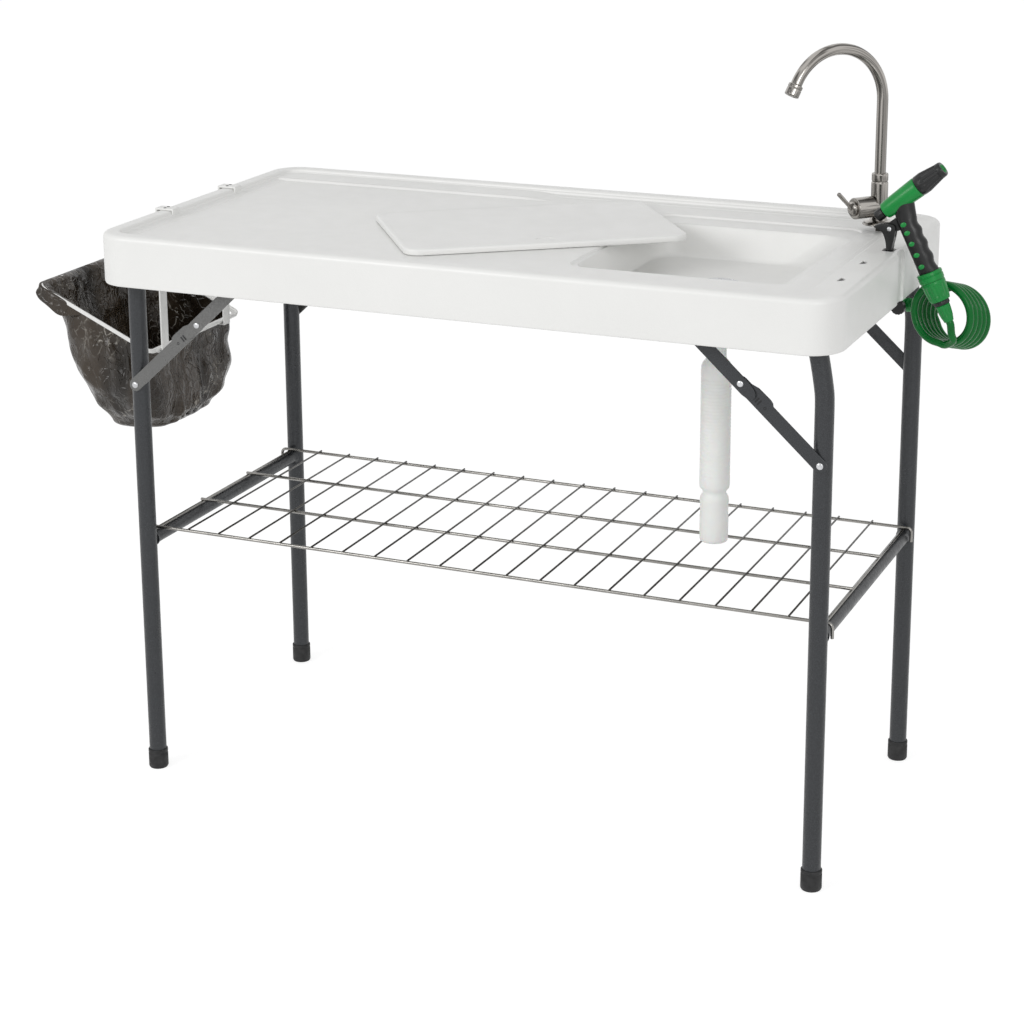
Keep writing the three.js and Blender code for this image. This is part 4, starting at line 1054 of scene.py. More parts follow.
class FISHTABLE_OT_drain(bpy.types.Operator):
    """Drain flange, nut and drain hose"""
    bl_idname = "fish_table.drain"
    bl_label = "Drain"

    def execute(self, context):
        top = SINK_UNDER_Z - GAP
        tail = top - DRAIN_NUT_HEIGHT
        base = at(DRAIN_X, DRAIN_Y, 0)
        hole = DRAIN_HOLE - GAP
        flange = soften([(DRAIN_BORE, tail), (DRAIN_BORE, FLOOR_Z - 0.0005), (0.0335, FLOOR_Z + 0.003),
                         (DRAIN_FLANGE, FLOOR_Z + GAP), (hole, FLOOR_Z + GAP), (hole, tail),
                         (DRAIN_BORE, tail)], 0.0012)
        nut = soften([(DRAIN_HOLE, top), (DRAIN_NUT, top), (DRAIN_NUT, tail), (DRAIN_HOLE, tail),
                      (DRAIN_HOLE, top)], 0.0015)
        pipe = drain_hose_line(tail - GAP)
        piece("Drain_flange", open_lathe(flange, base), "zinc")
        piece("Drain_nut", open_lathe(nut, base, (12, 0.0016, tail, top), DRAIN_NUT - 0.001), "hose_plastic")
        drain_hose = piece("Drain_hose", open_lathe(pipe, base), "hose_plastic", sharp=60)
        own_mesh(drain_hose)
        return {"FINISHED"}


def open_lathe(profile, base, flutes=None, beyond=0):
    """Turned shape with a hole, from a profile that ends where it starts."""
    return lathe(profile[:-1], base, UP, 48, flutes, beyond, closed=True)


def drain_hose_line(top):
    """Cuff on the nut, narrow neck, ribbed body, pinch and a smooth lower end."""
    bottom = top - DRAIN_HOSE_LENGTH
    radius, bore, neck = 0.023, 0.013, 0.0178
    pinch, ribs_from, ribs_to, pitch = bottom + 0.076, top - 0.115, bottom + 0.105, 0.0052
    line = [(bore, top), (0.0228, top), (0.0234, top - 0.004), (0.0234, top - 0.028), (0.0205, top - 0.036),
            (0.0152, top - 0.044), (0.0146, top - 0.05), (0.0146, top - 0.084), (0.0156, top - 0.089),
            (0.0205, top - 0.095), (0.0224, top - 0.1), (radius, top - 0.107), (radius, ribs_from)]
    z = ribs_from
    while z > ribs_to:
        line += [(radius - 0.0009, z - pitch * 0.5), (radius, z - pitch * 0.85), (radius, z - pitch)]
        z -= pitch
    line += [(across, pinch + rise) for across, rise in (
        (radius, 0.013), (0.0224, 0.0085), (0.0195, 0.005), (neck, 0.0022), (neck, -0.0014), (0.0196, -0.004),
        (0.0216, -0.0075), (0.022, -0.013), (0.0214, -0.017), (0.0212, -0.034), (0.0216, -0.037))]
    return line + [(0.0216, bottom + 0.007), (0.0208, bottom + 0.001), (0.0196, bottom), (bore, bottom),
                   (bore, top)]


class FISHTABLE_OT_cover(bpy.types.Operator):
    """Loose sink cover with its finger dimple"""
    bl_idname = "fish_table.cover"
    bl_label = "Sink cover"

    def execute(self, context):
        half = (-COVER_LENGTH / 2, COVER_LENGTH / 2, -COVER_WIDTH / 2, COVER_WIDTH / 2)
        turn = Matrix.Rotation(COVER_TURN, 3, "Z")
        origin = at(0, 0, 0)
        low, high = DECK_Z + GAP, DECK_Z + GAP + COVER_THICKNESS
        face = high - 0.0004
        dimple = 0.03 - COVER_WIDTH / 2

        def laid(points):
            return [origin + turn @ (point - origin) + COVER_PLACE for point in points]

        rings = [laid(ring(shrunk(half, inset), COVER_CORNER - inset, z, 10)) for inset, z in (
            (0.003, low), (0.0009, low + 0.0009), (0, low + 0.003), (0, high - 0.0032),
            (0.0006, high - 0.0015), (0.0018, face), (0.0035, high), (0.0075, high), (0.0082, face),
            (0.0095, face))]
        angles = [math.atan2(point.y - dimple, point.x - TABLE_X)
                  for point in ring(shrunk(half, 0.022), COVER_CORNER, 0, 10)]
        rings += [laid([at(wide * math.cos(a), dimple + long * math.sin(a), face - depth) for a in angles])
                  for wide, long, depth in (
                      (0.0155, 0.0125, 0), (0.0145, 0.0118, 0.0005), (0.0132, 0.0106, 0.0025),
                      (0.011, 0.0088, 0.0044), (0.004, 0.003, 0.005))]
        piece("Sink_cover", loft(rings), "white_plastic", sharp=40, even=True)
        return {"FINISHED"}


class FISHTABLE_OT_legs(bpy.types.Operator):
    """Leg frames with crossbars, feet and saddles"""
    bl_idname = "fish_table.legs"
    bl_label = "Leg frames"

    def execute(self, context):
        form = settings("legs")
        for side in SIDES:
            label = side["name"].capitalize()
            piece(label + "_leg_tube", tube(leg_route(side), form.tube, 32), "leg_paint", sharp=60)
            piece(label + "_crossbar", crossbar(side, form), "leg_paint", sharp=50)
            for place, sign in ENDS:
                piece(f"{label}_foot_{place}", foot(side, sign * LEG_SPREAD, form), "foot_rubber")
                saddle(label, side, sign * SADDLE_Y, place, form)
        return {"FINISHED"}


def leg_route(side):
    """Line of the bent tube from the front foot over the pivot to the back foot."""
    halves = []
    leg, step_in = side["leg"], side["pivot"] - side["leg"]
    low, high = PIVOT_Z - BEND_DROP - 2 * BEND_SOFTNESS, PIVOT_Z - LEG_BEND
    for sign in (-1, 1):
        y = sign * LEG_SPREAD
        line = [at(leg, y, z) for z in (FOOT_FLOOR, *(low + (high - low) * i / 12 for i in range(12)))]
        line += rounded_corner(at(leg, y, SKIRT_Z), at(leg, y, PIVOT_Z), at(leg, 0, PIVOT_Z), LEG_BEND, 10)
        for point in line:
            point.x += step_in * bend_share(point.z)
        halves.append(line)
    return halves[0] + halves[1][::-1]


def bend_share(z):
    """Share of the step from leg to pivot that the tube has made at a height."""
    above = z - PIVOT_Z + BEND_DROP
    rise = (above + math.hypot(above, BEND_SOFTNESS)) / 2 / BEND_DROP
    return min(1, 0.6 * rise + 0.4 * rise ** 5)


def crossbar(side, form):
    """Round bar with a weld bead round each end."""
    radius, bead, reach = form.crossbar, form.crossbar + 0.0022, LEG_SPREAD - form.tube + 0.001
    end = [(across, along - reach) for across, along in (
        (0, 0), (bead, 0), (bead, 0.002), (radius, 0.0055), (radius, 0.007))]
    return lathe(end + [(across, -along) for across, along in reversed(end)],
                 at(side["leg"], 0, CROSSBAR_Z), BACK, 32)


def foot(side, y, form):
    radius, sleeve, top = form.foot, form.tube + GAP, FOOT_HEIGHT
    profile = [(0, 0), (radius - 0.004, 0), (radius - 0.0012, 0.0006), (radius, 0.003), (radius, top - 0.008),
               (radius - 0.0007, top - 0.007), (radius - 0.0007, top - 0.006), (radius, top - 0.005),
               (radius, top - 0.0015), (radius - 0.001, top), (sleeve, top), (sleeve, FOOT_FLOOR - GAP),
               (0, FOOT_FLOOR - GAP)]
    return lathe(profile, at(side["leg"], y, 0), UP, 36)


def saddle(label, side, y, place, form):
    """Pressed strap round the pivot tube with its screw."""
    outer = form.tube + GAP + SADDLE_WALL
    inner, end = outer - SADDLE_WALL, outer + SADDLE_FLANGE
    inward = -math.copysign(1, side["pivot"])
    top = UNDER_Z - GAP
    low = top - SADDLE_WALL
    angles = turns(0, math.pi, 16)
    line = [(-outer, top)] + [(-outer * math.cos(a), PIVOT_Z - outer * math.sin(a)) for a in angles]
    line += [(outer, low), (end, low), (end, top), (inner, top)]
    line += [(-inner * math.cos(a), PIVOT_Z - inner * math.sin(a)) for a in reversed(angles)] + [(-inner, top)]
    outline = [at(side["pivot"] + inward * x, y - SADDLE_WIDTH / 2, z) for x, z in line]
    piece(f"{label}_saddle_{place}", prism(outline, BACK * SADDLE_WIDTH), "zinc", bevel=0.0005)
    head = at(side["pivot"] + inward * (outer + SADDLE_FLANGE * 0.6), y, low)
    piece(f"{label}_saddle_screw_{place}", screw_head(head, DOWN), "zinc", body="top")


class FISHTABLE_OT_braces(bpy.types.Operator):
    """Folding braces: links, hangers, rivets and latches"""
    bl_idname = "fish_table.braces"
    bl_label = "Braces"

    def execute(self, context):
        for side in SIDES:
            for place, sign in ENDS:
                brace(side, place, sign)
        return {"FINISHED"}


def brace(side, place, sign):
    """Lower link, upper link and hanger, each one layer further out, with rivets, screws and latch."""
    low, middle, high = (LEG_SPREAD + settings("legs").tube + GAP + i * (BAR_THICKNESS + GAP) for i in range(3))
    label, half, top = side["name"].capitalize(), BAR_WIDTH / 2, UNDER_Z - GAP
    # The left braces take the lighter copy of the leg paint: painted light
    paint = "lit_left_brace_paint" if label == "Left" else "leg_paint"
    outward = BACK * sign
    rivet = Vector((side["leg"], PIVOT_Z - BRACE_DROP))
    pin = Vector((side["leg"] + side["reach"], PIVOT_Z))
    elbow = rivet + (pin - rivet).normalized() * LOWER_LINK
    lower_body = body_of(f"{side['name']}_lower_link_{place}")

    def part(word, shape, look, **more):
        piece(f"{label}_{word}_{place}", shape, look, **more)

    def spot(flat, depth):
        return at(flat.x, sign * depth, flat.y)

    def laid(start, end, steps, depth):
        """Points given along and across a link, counted upwards from its middle."""
        way = (end - start).normalized()
        across = Vector((-way.y, way.x)) * math.copysign(1, way.x)
        return [spot(start + way * along + across * up, depth) for along, up in steps]

    def bar(start, end, line, depth):
        """Flat bar with a round end at its start and the given line round its other end."""
        round_end = [(half * math.cos(a), half * math.sin(a)) for a in turns(QUARTER, math.pi, 10)]
        return prism(laid(start, end, round_end + line, depth), outward * BAR_THICKNESS)

    span = (rivet - elbow).length
    catch = [(span + half * math.cos(a), half * math.sin(a)) for a in turns(-QUARTER, math.pi, 10)]
    catch += [(along, half * share) for along, share in CATCH]
    part("lower_link", bar(elbow, rivet, catch, low), paint, bevel=0.0006)
    span = (elbow - pin).length
    tongue = [(span + along, half * share) for along, share in TONGUE]
    part("upper_link", bar(pin, elbow, tongue, middle), paint, bevel=0.0006)

    plate = [(pin.x - half, pin.y), (pin.x - half, top), (pin.x + half, top), (pin.x + half, pin.y)]
    plate += [(pin.x + half * math.cos(a), pin.y - half * math.sin(a)) for a in turns(0, math.pi, 12)[1:-1]]
    plate = prism([at(x, sign * high, z) for x, z in plate], outward * BAR_THICKNESS)
    tab = block(pin.x - HANGER_LENGTH / 2, pin.x + HANGER_LENGTH / 2,
                *sorted((sign * high, sign * (high + HANGER_TAB))), top - HANGER_SHEET, top)
    shaft = lathe([(0, 0), (PIN_RADIUS, 0), (PIN_RADIUS, BAR_THICKNESS), (0, BAR_THICKNESS)],
                  spot(pin, middle), outward, 20)
    part("brace_hanger", joined(plate, tab, shaft), paint, bevel=0.0005)

    for word, flat, depth, radius, height, body in (
            ("leg", rivet, low, 0.0052, 0.0024, lower_body),
            ("elbow", elbow, middle, 0.0048, 0.0021, lower_body),
            ("hanger", pin, high, 0.0048, 0.0021, "top")):
        head = rivet_head(spot(flat, depth + BAR_THICKNESS), outward, radius, height)
        part(word + "_rivet", head, "zinc", body=body)
    for word, share in (("left", -0.36), ("right", 0.36)):
        place_of = at(pin.x + HANGER_LENGTH * share, sign * (high + HANGER_TAB * 0.55), top - HANGER_SHEET)
        part("hanger_screw_" + word, screw_head(place_of, DOWN, 0.0034, 0.0018), "zinc", body="top")

    face = low + BAR_THICKNESS - 0.0005
    marks = [prism(laid(elbow, rivet, ((near, -0.0045), (far, -0.0045), (far, 0.0045), (near, 0.0045)), face),
                   outward * 0.00062) for near, far in LATCH_SLOTS]
    hole = [(0, 0), (0.0022, 0), (0.0022, 0.0006), (0.0016, 0.0006), (0, 0.0002)]
    marks.append(lathe(hole, laid(elbow, rivet, [(LATCH_HOLE, 0)], face)[0], outward, 20))
    part("latch", joined(*marks), "black_plastic", body=lower_body)


class FISHTABLE_OT_shelf(bpy.types.Operator):
    """Wire shelf and its separate end wire"""
    bl_idname = "fish_table.shelf"
    bl_label = "Shelf"

    def execute(self, context):
        form = settings("legs")
        wire, thin = form.long_wire, form.cross_wire
        low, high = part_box("shelf_end_wire")
        end_z, end_radius = (low.z + high.z) / 2, (high.z - low.z) / 2
        long_z = high.z + GAP + wire
        left, right = (side["leg"] for side in SIDES)
        reach, thin_z, left_z = SHELF_OUTER_WIRE + wire, long_z + wire + thin / 2, end_z + 2 * GAP
        long_wires = [tube(outer_line(sign * SHELF_OUTER_WIRE, left, right, long_z, form), wire, 16)
                      for sign in (-1, 1)]
        long_wires += [rod(at(left - 0.003, y, long_z), at(right + 0.003, y, long_z), wire)
                       for y in (-SHELF_INNER_WIRE, SHELF_INNER_WIRE)]
        long_wires.append(rod(at(left, -reach, left_z), at(left, reach, left_z), end_radius + GAP))
        places = [left + SHELF_FIRST_WIRE + i * SHELF_PITCH for i in range(SHELF_WIRES)]
        cross_wires = [rod(at(x, -reach, thin_z), at(x, reach + thin, thin_z), thin) for x in places]
        # The long wires take the brighter copy of the wire colour (painted highlight), the cross wires the
        # darker copy (painted shade)
        piece("Shelf_long_wires", joined(*long_wires), "wire", "shelf_grid", sharp=50)
        piece("Shelf_cross_wires", joined(*cross_wires), "shaded_cross_wire", "shelf_grid", sharp=50)
        piece("Shelf_end_wire", rod(at(right, -reach, end_z), at(right, reach, end_z), end_radius), "wire",
              sharp=50)
        return {"FINISHED"}


def rod(start, end, radius):
    """Straight wire with rounded ends."""
    length = (end - start).length
    tip = radius * 0.5
    profile = [(0, 0), (radius * 0.7, tip * 0.2), (radius, tip), (radius, length - tip),
               (radius * 0.7, length - tip * 0.2), (0, length)]
    return lathe(profile, start, (end - start).normalized(), 16)


def outer_line(y, left, right, z, form):
    """Long wire whose ends curl down over the crossbars."""
    out = form.crossbar + form.long_wire + 0.0015
    halves = []
    for x in (left - out, right + out):
        curl = rounded_corner(at(x, y, z - 0.03), at(x, y, z), at(0, y, z), SHELF_CURL)
        halves.append([at(x, y, z - form.tip_drop)] + curl)
    return halves[0] + halves[1][::-1]


class FISHTABLE_OT_faucet(bpy.types.Operator):
    """Faucet body, spout, aerator, valve lever and nut"""
    bl_idname = "fish_table.faucet"
    bl_label = "Faucet"

    def execute(self, context):
        base = at(FAUCET_X, FAUCET_Y, 0)
        valve_from = at(FAUCET_X, FAUCET_Y, VALVE_Z)
        seat, under = TOP_Z + GAP, UNDER_Z - GAP
        end = COLLAR_Z - seat
        body = soften([(0, 0), (0.0245, 0), (0.024, 0.0022), (0.0215, 0.0045), (0.0135, 0.0068),
                       (0.0118, 0.0115), (0.0118, 0.016), (0.0128, 0.018), (0.0128, end - 0.0022),
                       (0.0118, end - 0.001), (0.0118, end - GAP), (0, end - GAP)], 0.0008)
        reach = VALVE_REACH - 0.004
        valve = soften([(0, 0), (0.0115, 0), (0.0115, 0.009), (0.0162, 0.0105), (0.0162, reach - 0.0012),
                        (0.0151, reach), (0, reach)], 0.0006)
        shank = thread(UNDER_Z - SHANK_LENGTH, seat + 0.002)
        piece("Faucet_body", joined(lathe(body, base + UP * seat, UP, 48),
                                    lathe(valve, valve_from + SIDEWAYS * 0.004, SIDEWAYS, 48),
                                    lathe(shank, base, UP, 24)), "nickel")
        hexagon = [base + Vector((0.01 * math.cos(a), 0.01 * math.sin(a), under - 0.005)) for a in around(6)]
        piece("Shank_nut", prism(hexagon, UP * 0.005), "nickel", "faucet_shank_nut", bevel=0.0006)
        spout(base)
        valve_lever(valve_from + SIDEWAYS * (VALVE_REACH + GAP))
        return {"FINISHED"}


def thread(low, high):
    profile = [(0, low), (0.0042, low)]
    z = low + 0.001
    while z < high - 0.002:
        profile += [(0.005, z), (0.0045, z + 0.0007)]
        z += 0.0014
    return profile + [(0.005, high), (0, high)]


def spout(base):
    """Swan neck on its collar, with the aerator at its tip."""
    collar = soften([(0, 0), (0.0118, 0), (0.0125, 0.0008), (0.0125, 0.0105), (0.0115, 0.012),
                     (0, 0.012)], 0.0005)
    line = [base + UP * z for z in (COLLAR_Z + 0.006, COLLAR_Z + 0.05, SPOUT_ARC_Z - 0.01)]
    line += [base + UP * (SPOUT_ARC_Z + SPOUT_ARC * math.sin(a)) + SIDEWAYS * SPOUT_ARC * (1 - math.cos(a))
             for a in turns(0, SPOUT_SWEEP, 32)]
    neck = joined(lathe(collar, base + UP * COLLAR_Z), tube(line, SPOUT_RADIUS, 32))
    piece("Spout", neck, "nickel", "faucet_spout", sharp=45)
    way = (line[-1] - line[-2]).normalized()
    aerator = soften([(0, 0), (0.0096, 0), (0.011, 0.0012), (0.011, 0.0052), (0.0103, 0.0058), (0.0103, 0.0066),
                      (0.011, 0.0072), (0.011, 0.0168), (0.0102, 0.018), (0.0082, 0.018), (0.0078, 0.016),
                      (0, 0.016)], 0.0004)
    piece("Aerator", lathe(aerator, line[-1] + way * GAP, way), "nickel", "spout_aerator", body="spout")


def valve_lever(start):
    """Round hub with a rod that slants up from it."""
    hub = soften([(0, 0), (0.0112, 0), (0.0112, 0.0034), (0.0078, 0.0056), (0.0052, 0.006),
                  (0.0046, 0.0048), (0, 0.0046)], 0.0006)
    profile = [(radius, VALVE_LEVER * share) for radius, share in (
        (0, 0), (0.0029, 0), (0.0029, 0.3), (0.0029, 0.5), (0.0032, 0.55), (0.0032, 0.97), (0.0022, 1), (0, 1))]
    lever = lathe(profile, start + SIDEWAYS * 0.003, (SIDEWAYS + UP).normalized(), 20)
    piece("Valve_lever", joined(lathe(hub, start, SIDEWAYS, 36), lever), "nickel")


class FISHTABLE_OT_gun(bpy.types.Operator):
    """Spray gun: barrel, nozzle, knob, handle, trigger and hose fittings"""
    bl_idname = "fish_table.gun"
    bl_label = "Spray gun"

    def execute(self, context):
        nose = BARREL_TAIL + BARREL_WAY * BARREL_LENGTH
        end, face = NOZZLE_LENGTH, NOZZLE_LENGTH + GAP
        barrel = soften([(0, 0), (0.0108, 0), (0.0122, 0.0015), (0.0132, 0.012), (0.0142, 0.035),
                         (0.0152, BARREL_LENGTH - 0.002), (0.0144, BARREL_LENGTH), (0, BARREL_LENGTH)], 0.001)
        nozzle = [(0, 0), (0.0144, 0), (0.0152, 0.001), (0.0154, 0.0105)]
        nozzle += [(0.0152 - 0.0038 * i / 10, 0.012 + (end - 0.02) * i / 10) for i in range(11)]
        nozzle += [(0.0115, end - 0.007), (0.0112, end - 0.002), (0.0102, end), (0.0072, end),
                   (0.0062, end - 0.003), (0.0042, end - 0.004), (0.004, end - 0.012), (0, end - 0.012)]
        insert = [(0.0036, face - 0.004), (0.0072, face - 0.004), (0.0072, face + 0.0002),
                  (0.006, face + 0.0008), (0.0048, face), (0.0036, face - 0.003)]
        knob = [(0, 0), (0.0066, 0), (0.007, 0.0015), (0.0082, 0.002), (0.0085, 0.004), (0.0085, 0.0122),
                (0.0076, 0.014), (0.005, 0.0138), (0.0044, 0.013), (0, 0.013)]
        grooves, flutes = (16, 0.0011, 0.012, end - 0.008), (12, 0.0007, 0.0035, 0.0115)
        piece("Gun_barrel", lathe(barrel, BARREL_TAIL, BARREL_WAY, 48), "green_plastic")
        piece("Gun_nozzle", lathe(nozzle, nose + BARREL_WAY * GAP, BARREL_WAY, 96, grooves), "black_plastic",
              sharp=50)
        piece("Nozzle_insert", lathe(insert, nose, BARREL_WAY, 48), "green_plastic", body="nozzle")
        piece("Gun_knob", lathe(knob, BARREL_TAIL - BARREL_WAY * GAP, -BARREL_WAY, 60, flutes),
              "black_plastic", sharp=50)
        grip = bend(HANDLE_TOP, HANDLE_MID, HANDLE_END, GRIP_STEPS)
        handle(grip)
        trigger()
        fittings()
        return {"FINISHED"}


def grip_section(share):
    """Section of the grip, with finger grooves on its outer side, at a share of its length."""
    grip = max(0, (share - 0.1) / 0.9)
    wave = 0.0013 * math.cos(grip * 2 * math.pi * 4)
    wide = 0.0118 + 0.0012 * math.sin(grip * math.pi)
    return [(wide * math.cos(a), 0.0144 * math.sin(a) + wave * max(0, math.sin(a)) ** 2) for a in around(32)]


def handle(grip):
    """Grip with its dots, neck, tongue for the trigger, and the trigger's pivot pin and screws."""
    neck_top = BARREL_TAIL + BARREL_WAY * (BARREL_LENGTH * 0.53)
    line = [neck_top, neck_top.lerp(HANDLE_TOP, 0.5)] + grip
    tongue = [TRIGGER_PIVOT + Vector((x, -TONGUE_WIDTH / 2, z)) for x, z in (
        (-0.0055, 0.002), (-0.003, 0.0075), (0.01, 0.018), (0.024, 0.016), (0.024, 0.002),
        (0.006, -0.0048), (-0.001, -0.006), (-0.0052, -0.003))]
    pin = lathe([(0, 0), (0.0022, 0), (0.0022, TRIGGER_WIDTH), (0, TRIGGER_WIDTH)],
                TRIGGER_PIVOT - BACK * TRIGGER_WIDTH / 2, BACK, 16)
    skin = loft(sections(line, grip_section, ALONG))
    piece("Gun_handle", joined(skin, prism(tongue, BACK * TONGUE_WIDTH), pin), "black_plastic", sharp=50)
    grip_dots(grip)
    for word, sign in ENDS:
        head = screw_head(TRIGGER_PIVOT + BACK * sign * TRIGGER_WIDTH / 2, BACK * sign, 0.0034, 0.0016)
        piece("Trigger_screw_" + word, head, "zinc", body="top")


def grip_dots(grip):
    """Row of soft green ovals let into each side of the grip."""
    for word, sign in ENDS:
        shapes = []
        for share in (0.08, 0.27, 0.46, 0.66, 0.86):
            index = round(share * GRIP_STEPS)
            way = (grip[min(index + 1, GRIP_STEPS)] - grip[index - 1]).normalized()
            across = Vector((-way.z, 0, way.x))
            base = grip[index] - across * 0.0035 + BACK * sign * 0.0116
            shapes.append(loft([
                [base + (way * 0.0034 * math.cos(a) + across * 0.0045 * math.sin(a)) * scale + BACK * sign * out
                 for a in around(20)] for scale, out in ((1, 0), (1, 0.0012), (0.75, 0.0018), (0.01, 0.002))]))
        piece("Grip_dots_" + word, joined(*shapes), "green_plastic", body="top")


def trigger():
    """Curved lever, slotted for the handle's tongue."""
    shares = ((-0.46, -0.03), (-0.26, -0.12), (0.12, -0.12), (0.17, 0.12), (0.1, 0.5), (0.07, 0.8),
              (0.02, 0.99), (-0.05, 1), (-0.19, 0.97), (-0.12, 0.86), (-0.08, 0.55), (-0.13, 0.28),
              (-0.24, 0.08))
    side = BACK * TRIGGER_WIDTH / 2
    points = [TRIGGER_PIVOT + Vector((across, 0, -down)) * TRIGGER_SPAN for across, down in shares]
    outline = [point - side for point in smooth_line(points, 4, closed=True)]
    cheek = TONGUE_WIDTH / 2 + 2 * GAP
    pivot = TRIGGER_PIVOT - at(0, 0, 0)
    slot = block(pivot.x - TRIGGER_SPAN / 6, pivot.x + TRIGGER_SPAN, GUN_Y - cheek, GUN_Y + cheek,
                 pivot.z - TRIGGER_SPAN / 4, pivot.z + TRIGGER_SPAN)
    piece("Gun_trigger", prism(outline, side * 2), "black_plastic", bevel=0.001,
          changes=lambda obj: carved(obj, slot))


def fittings():
    """Collar, quick connector, ring and nut in line below the handle."""
    forms = (
        ("Gun_collar", "green_plastic", None,
         [(0, 0), (0.0176, 0), (0.0186, 0.001), (0.0186, 0.0045), (0.0178, 0.0052), (0.0178, 0.006),
          (0.0186, 0.0067), (0.0182, 0.013), (0.0174, 0.014), (0, 0.014)]),
        ("Quick_connector", "green_plastic", (14, 0.0012, 0.006, 0.024),
         [(0, 0), (0.0172, 0), (0.0178, 0.001), (0.0178, 0.005), (0.0174, 0.0062), (0.017, 0.0125),
          (0.0164, 0.018), (0.0158, 0.0238), (0.0156, 0.025), (0.0144, 0.0296), (0.0134, 0.03), (0, 0.03)]),
        ("Connector_ring", "black_plastic", (24, 0.0006, 0.001, 0.005),
         [(0, 0), (0.0112, 0), (0.012, 0.0012), (0.012, 0.0048), (0.0112, 0.006), (0, 0.006)]),
        ("Hose_nut", "green_plastic", (10, 0.0012, 0.002, 0.018),
         [(0, 0), (0.0096, 0), (0.0106, 0.001), (0.0105, 0.0022), (0.0099, 0.01), (0.009, 0.0178),
          (0.0084, 0.0195), (0.007, 0.0255), (0.0062, 0.026), (0, 0.026)]),
    )
    start = HANDLE_END.copy()
    for (name, look, flutes, profile), length in zip(forms, FITTINGS):
        start += HOSE_WAY * GAP
        piece(name, lathe(profile, start, HOSE_WAY, 80, flutes), look)
        start += HOSE_WAY * length


class FISHTABLE_OT_splitter(bpy.types.Operator):
    """Two-way hose splitter with its capped branch"""
    bl_idname = "fish_table.splitter"
    bl_label = "Hose splitter"

    def execute(self, context):
        length = 2 * SPLITTER_HALF.x
        ahead = -BACK
        body = [(0, 0), (0.0095, 0), (0.0105, 0.001), (0.0105, 0.0085), (0.0092, 0.0095), (0.0092, 0.0115),
                (0.011, 0.013), (0.011, 0.021), (0.0092, 0.0225), (0.0092, 0.0245), (0.0105, 0.0255),
                (0.0105, length - 0.001), (0.0095, length), (0, length)]
        branch = [(0, 0), (0.0088, 0), (0.0088, 0.0165), (0.008, 0.017), (0, 0.017)]
        cap = [(0, 0), (0.0102, 0), (0.011, 0.001), (0.011, 0.0075), (0.01, 0.0088), (0, 0.009)]
        pipe = lathe(body, SPLITTER - SPLITTER_HALF, ALONG, 60, (12, 0.0007, 0.0012, 0.0084))
        piece("Hose_splitter", joined(pipe, lathe(branch, SPLITTER, ahead)), "green_plastic")
        piece("Splitter_cap", lathe(cap, SPLITTER + ahead * (0.017 + GAP), ahead, 60,
                                    (14, 0.0009, 0.0012, 0.0078)), "black_plastic")
        return {"FINISHED"}


class FISHTABLE_OT_bag_holder(bpy.types.Operator):
    """Ring and the two straps that hook over the left rim"""
    bl_idname = "fish_table.bag_holder"
    bl_label = "Bag holder"

    def execute(self, context):
        across, rise = RING_OUTER_X - RING_INNER_X, RING_OUTER_Z - RING_INNER_Z
        frame_rect = (0, math.hypot(across, rise), -RING_HALF_WIDTH, RING_HALF_WIDTH)
        slope = Quaternion((0, 1, 0), -math.atan2(rise, across))
        origin, start = at(0, 0, 0), Vector((RING_INNER_X, 0, RING_INNER_Z))
        half = RING_THICKNESS / 2
        low = -half - 0.003
        rings = []
        for inset, z in ((0, low), (0, half), (RING_BAR, half), (RING_BAR, -half), (RING_LIP, -half),
                         (RING_LIP, low)):
            flat = ring(shrunk(frame_rect, inset), RING_CORNER - inset * 0.6, z)
            rings.append([origin + slope @ (point - origin) + start for point in flat])
        piece("Bag_ring", loft(rings, closed=True), "white_plastic", bevel=0.0005)
        for place, y in HANGER_ROWS:
            strap(place, y)
        return {"FINISHED"}


def strap(place, y):
    """Bent strap: lip inside the rim, top over it, long drop outside and a tab under the ring."""
    outer, lip = -HALF_LENGTH - GAP, RIM_WIDTH - HALF_LENGTH + GAP
    top, tab = TOP_Z + GAP, RING_INNER_Z - RING_THICKNESS / 2 - GAP
    t = CLIP_THICKNESS
    line = [(lip, top - 0.008), (lip + t, top - 0.008), (lip + t, top + t), (outer - t, top + t),
            (outer - t, tab), (outer - 0.012, tab), (outer - 0.012, tab - t), (outer, tab - t),
            (outer, top), (lip, top)]
    outline = [at(x, y - CLIP_WIDTH / 2, z) for x, z in line]
    piece("Bag_hanger_" + place, prism(outline, BACK * CLIP_WIDTH), "white_plastic", bevel=0.0009)
    plug = [(0, -0.0004), (0.0024, -0.0004), (0.0024, 0.0004), (0.0018, 0.0003), (0, 0.0001)]
    for number, shift in ((1, -0.005), (2, 0.005)):
        base = at(outer - t / 2 + 0.014, y + shift, top + t)
        piece(f"Strap_hole_{place}_{number}", lathe(plug, base, UP, 20), "black_plastic", body="bag_holder")


class FISHTABLE_OT_bag(bpy.types.Operator):
    """Waste bag: crumpled film hung in the ring with its mouth folded over it"""
    bl_idname = "fish_table.bag"
    bl_label = "Waste bag"

    def execute(self, context):
        form = settings("bag")

        def thicken(obj):
            modified(obj, "SOLIDIFY", thickness=form.film, offset=-1)
            modified(obj, "SUBSURF", levels=1)
            baked(obj)

        piece("Waste_bag", loft(bag_rings(form), caps=False), "bag_film", "trash_bag", sharp=75,
              changes=thicken)
        return {"FINISHED"}


def bag_rings(form, rows=40):
    """Cuff, sides and floor of the bag, from its hem to the middle of its floor."""
    rings = cuff_rings(form) + [bag_level(row / rows, form) for row in range(1, rows + 1)]
    floor = rings[-1]
    middle = sum(floor, Vector()) / len(floor)
    for share in (0.8, 0.55, 0.3, 0.1, 0.02):
        rings.append([middle.lerp(point, share) + UP * 0.006 * (1 - share) * noise.noise(point * 30)
                      for point in floor])
    return rings


def ease(share):
    """The same share, with a soft start and end."""
    share = min(max(share, 0), 1)
    return share * share * (3 - 2 * share)


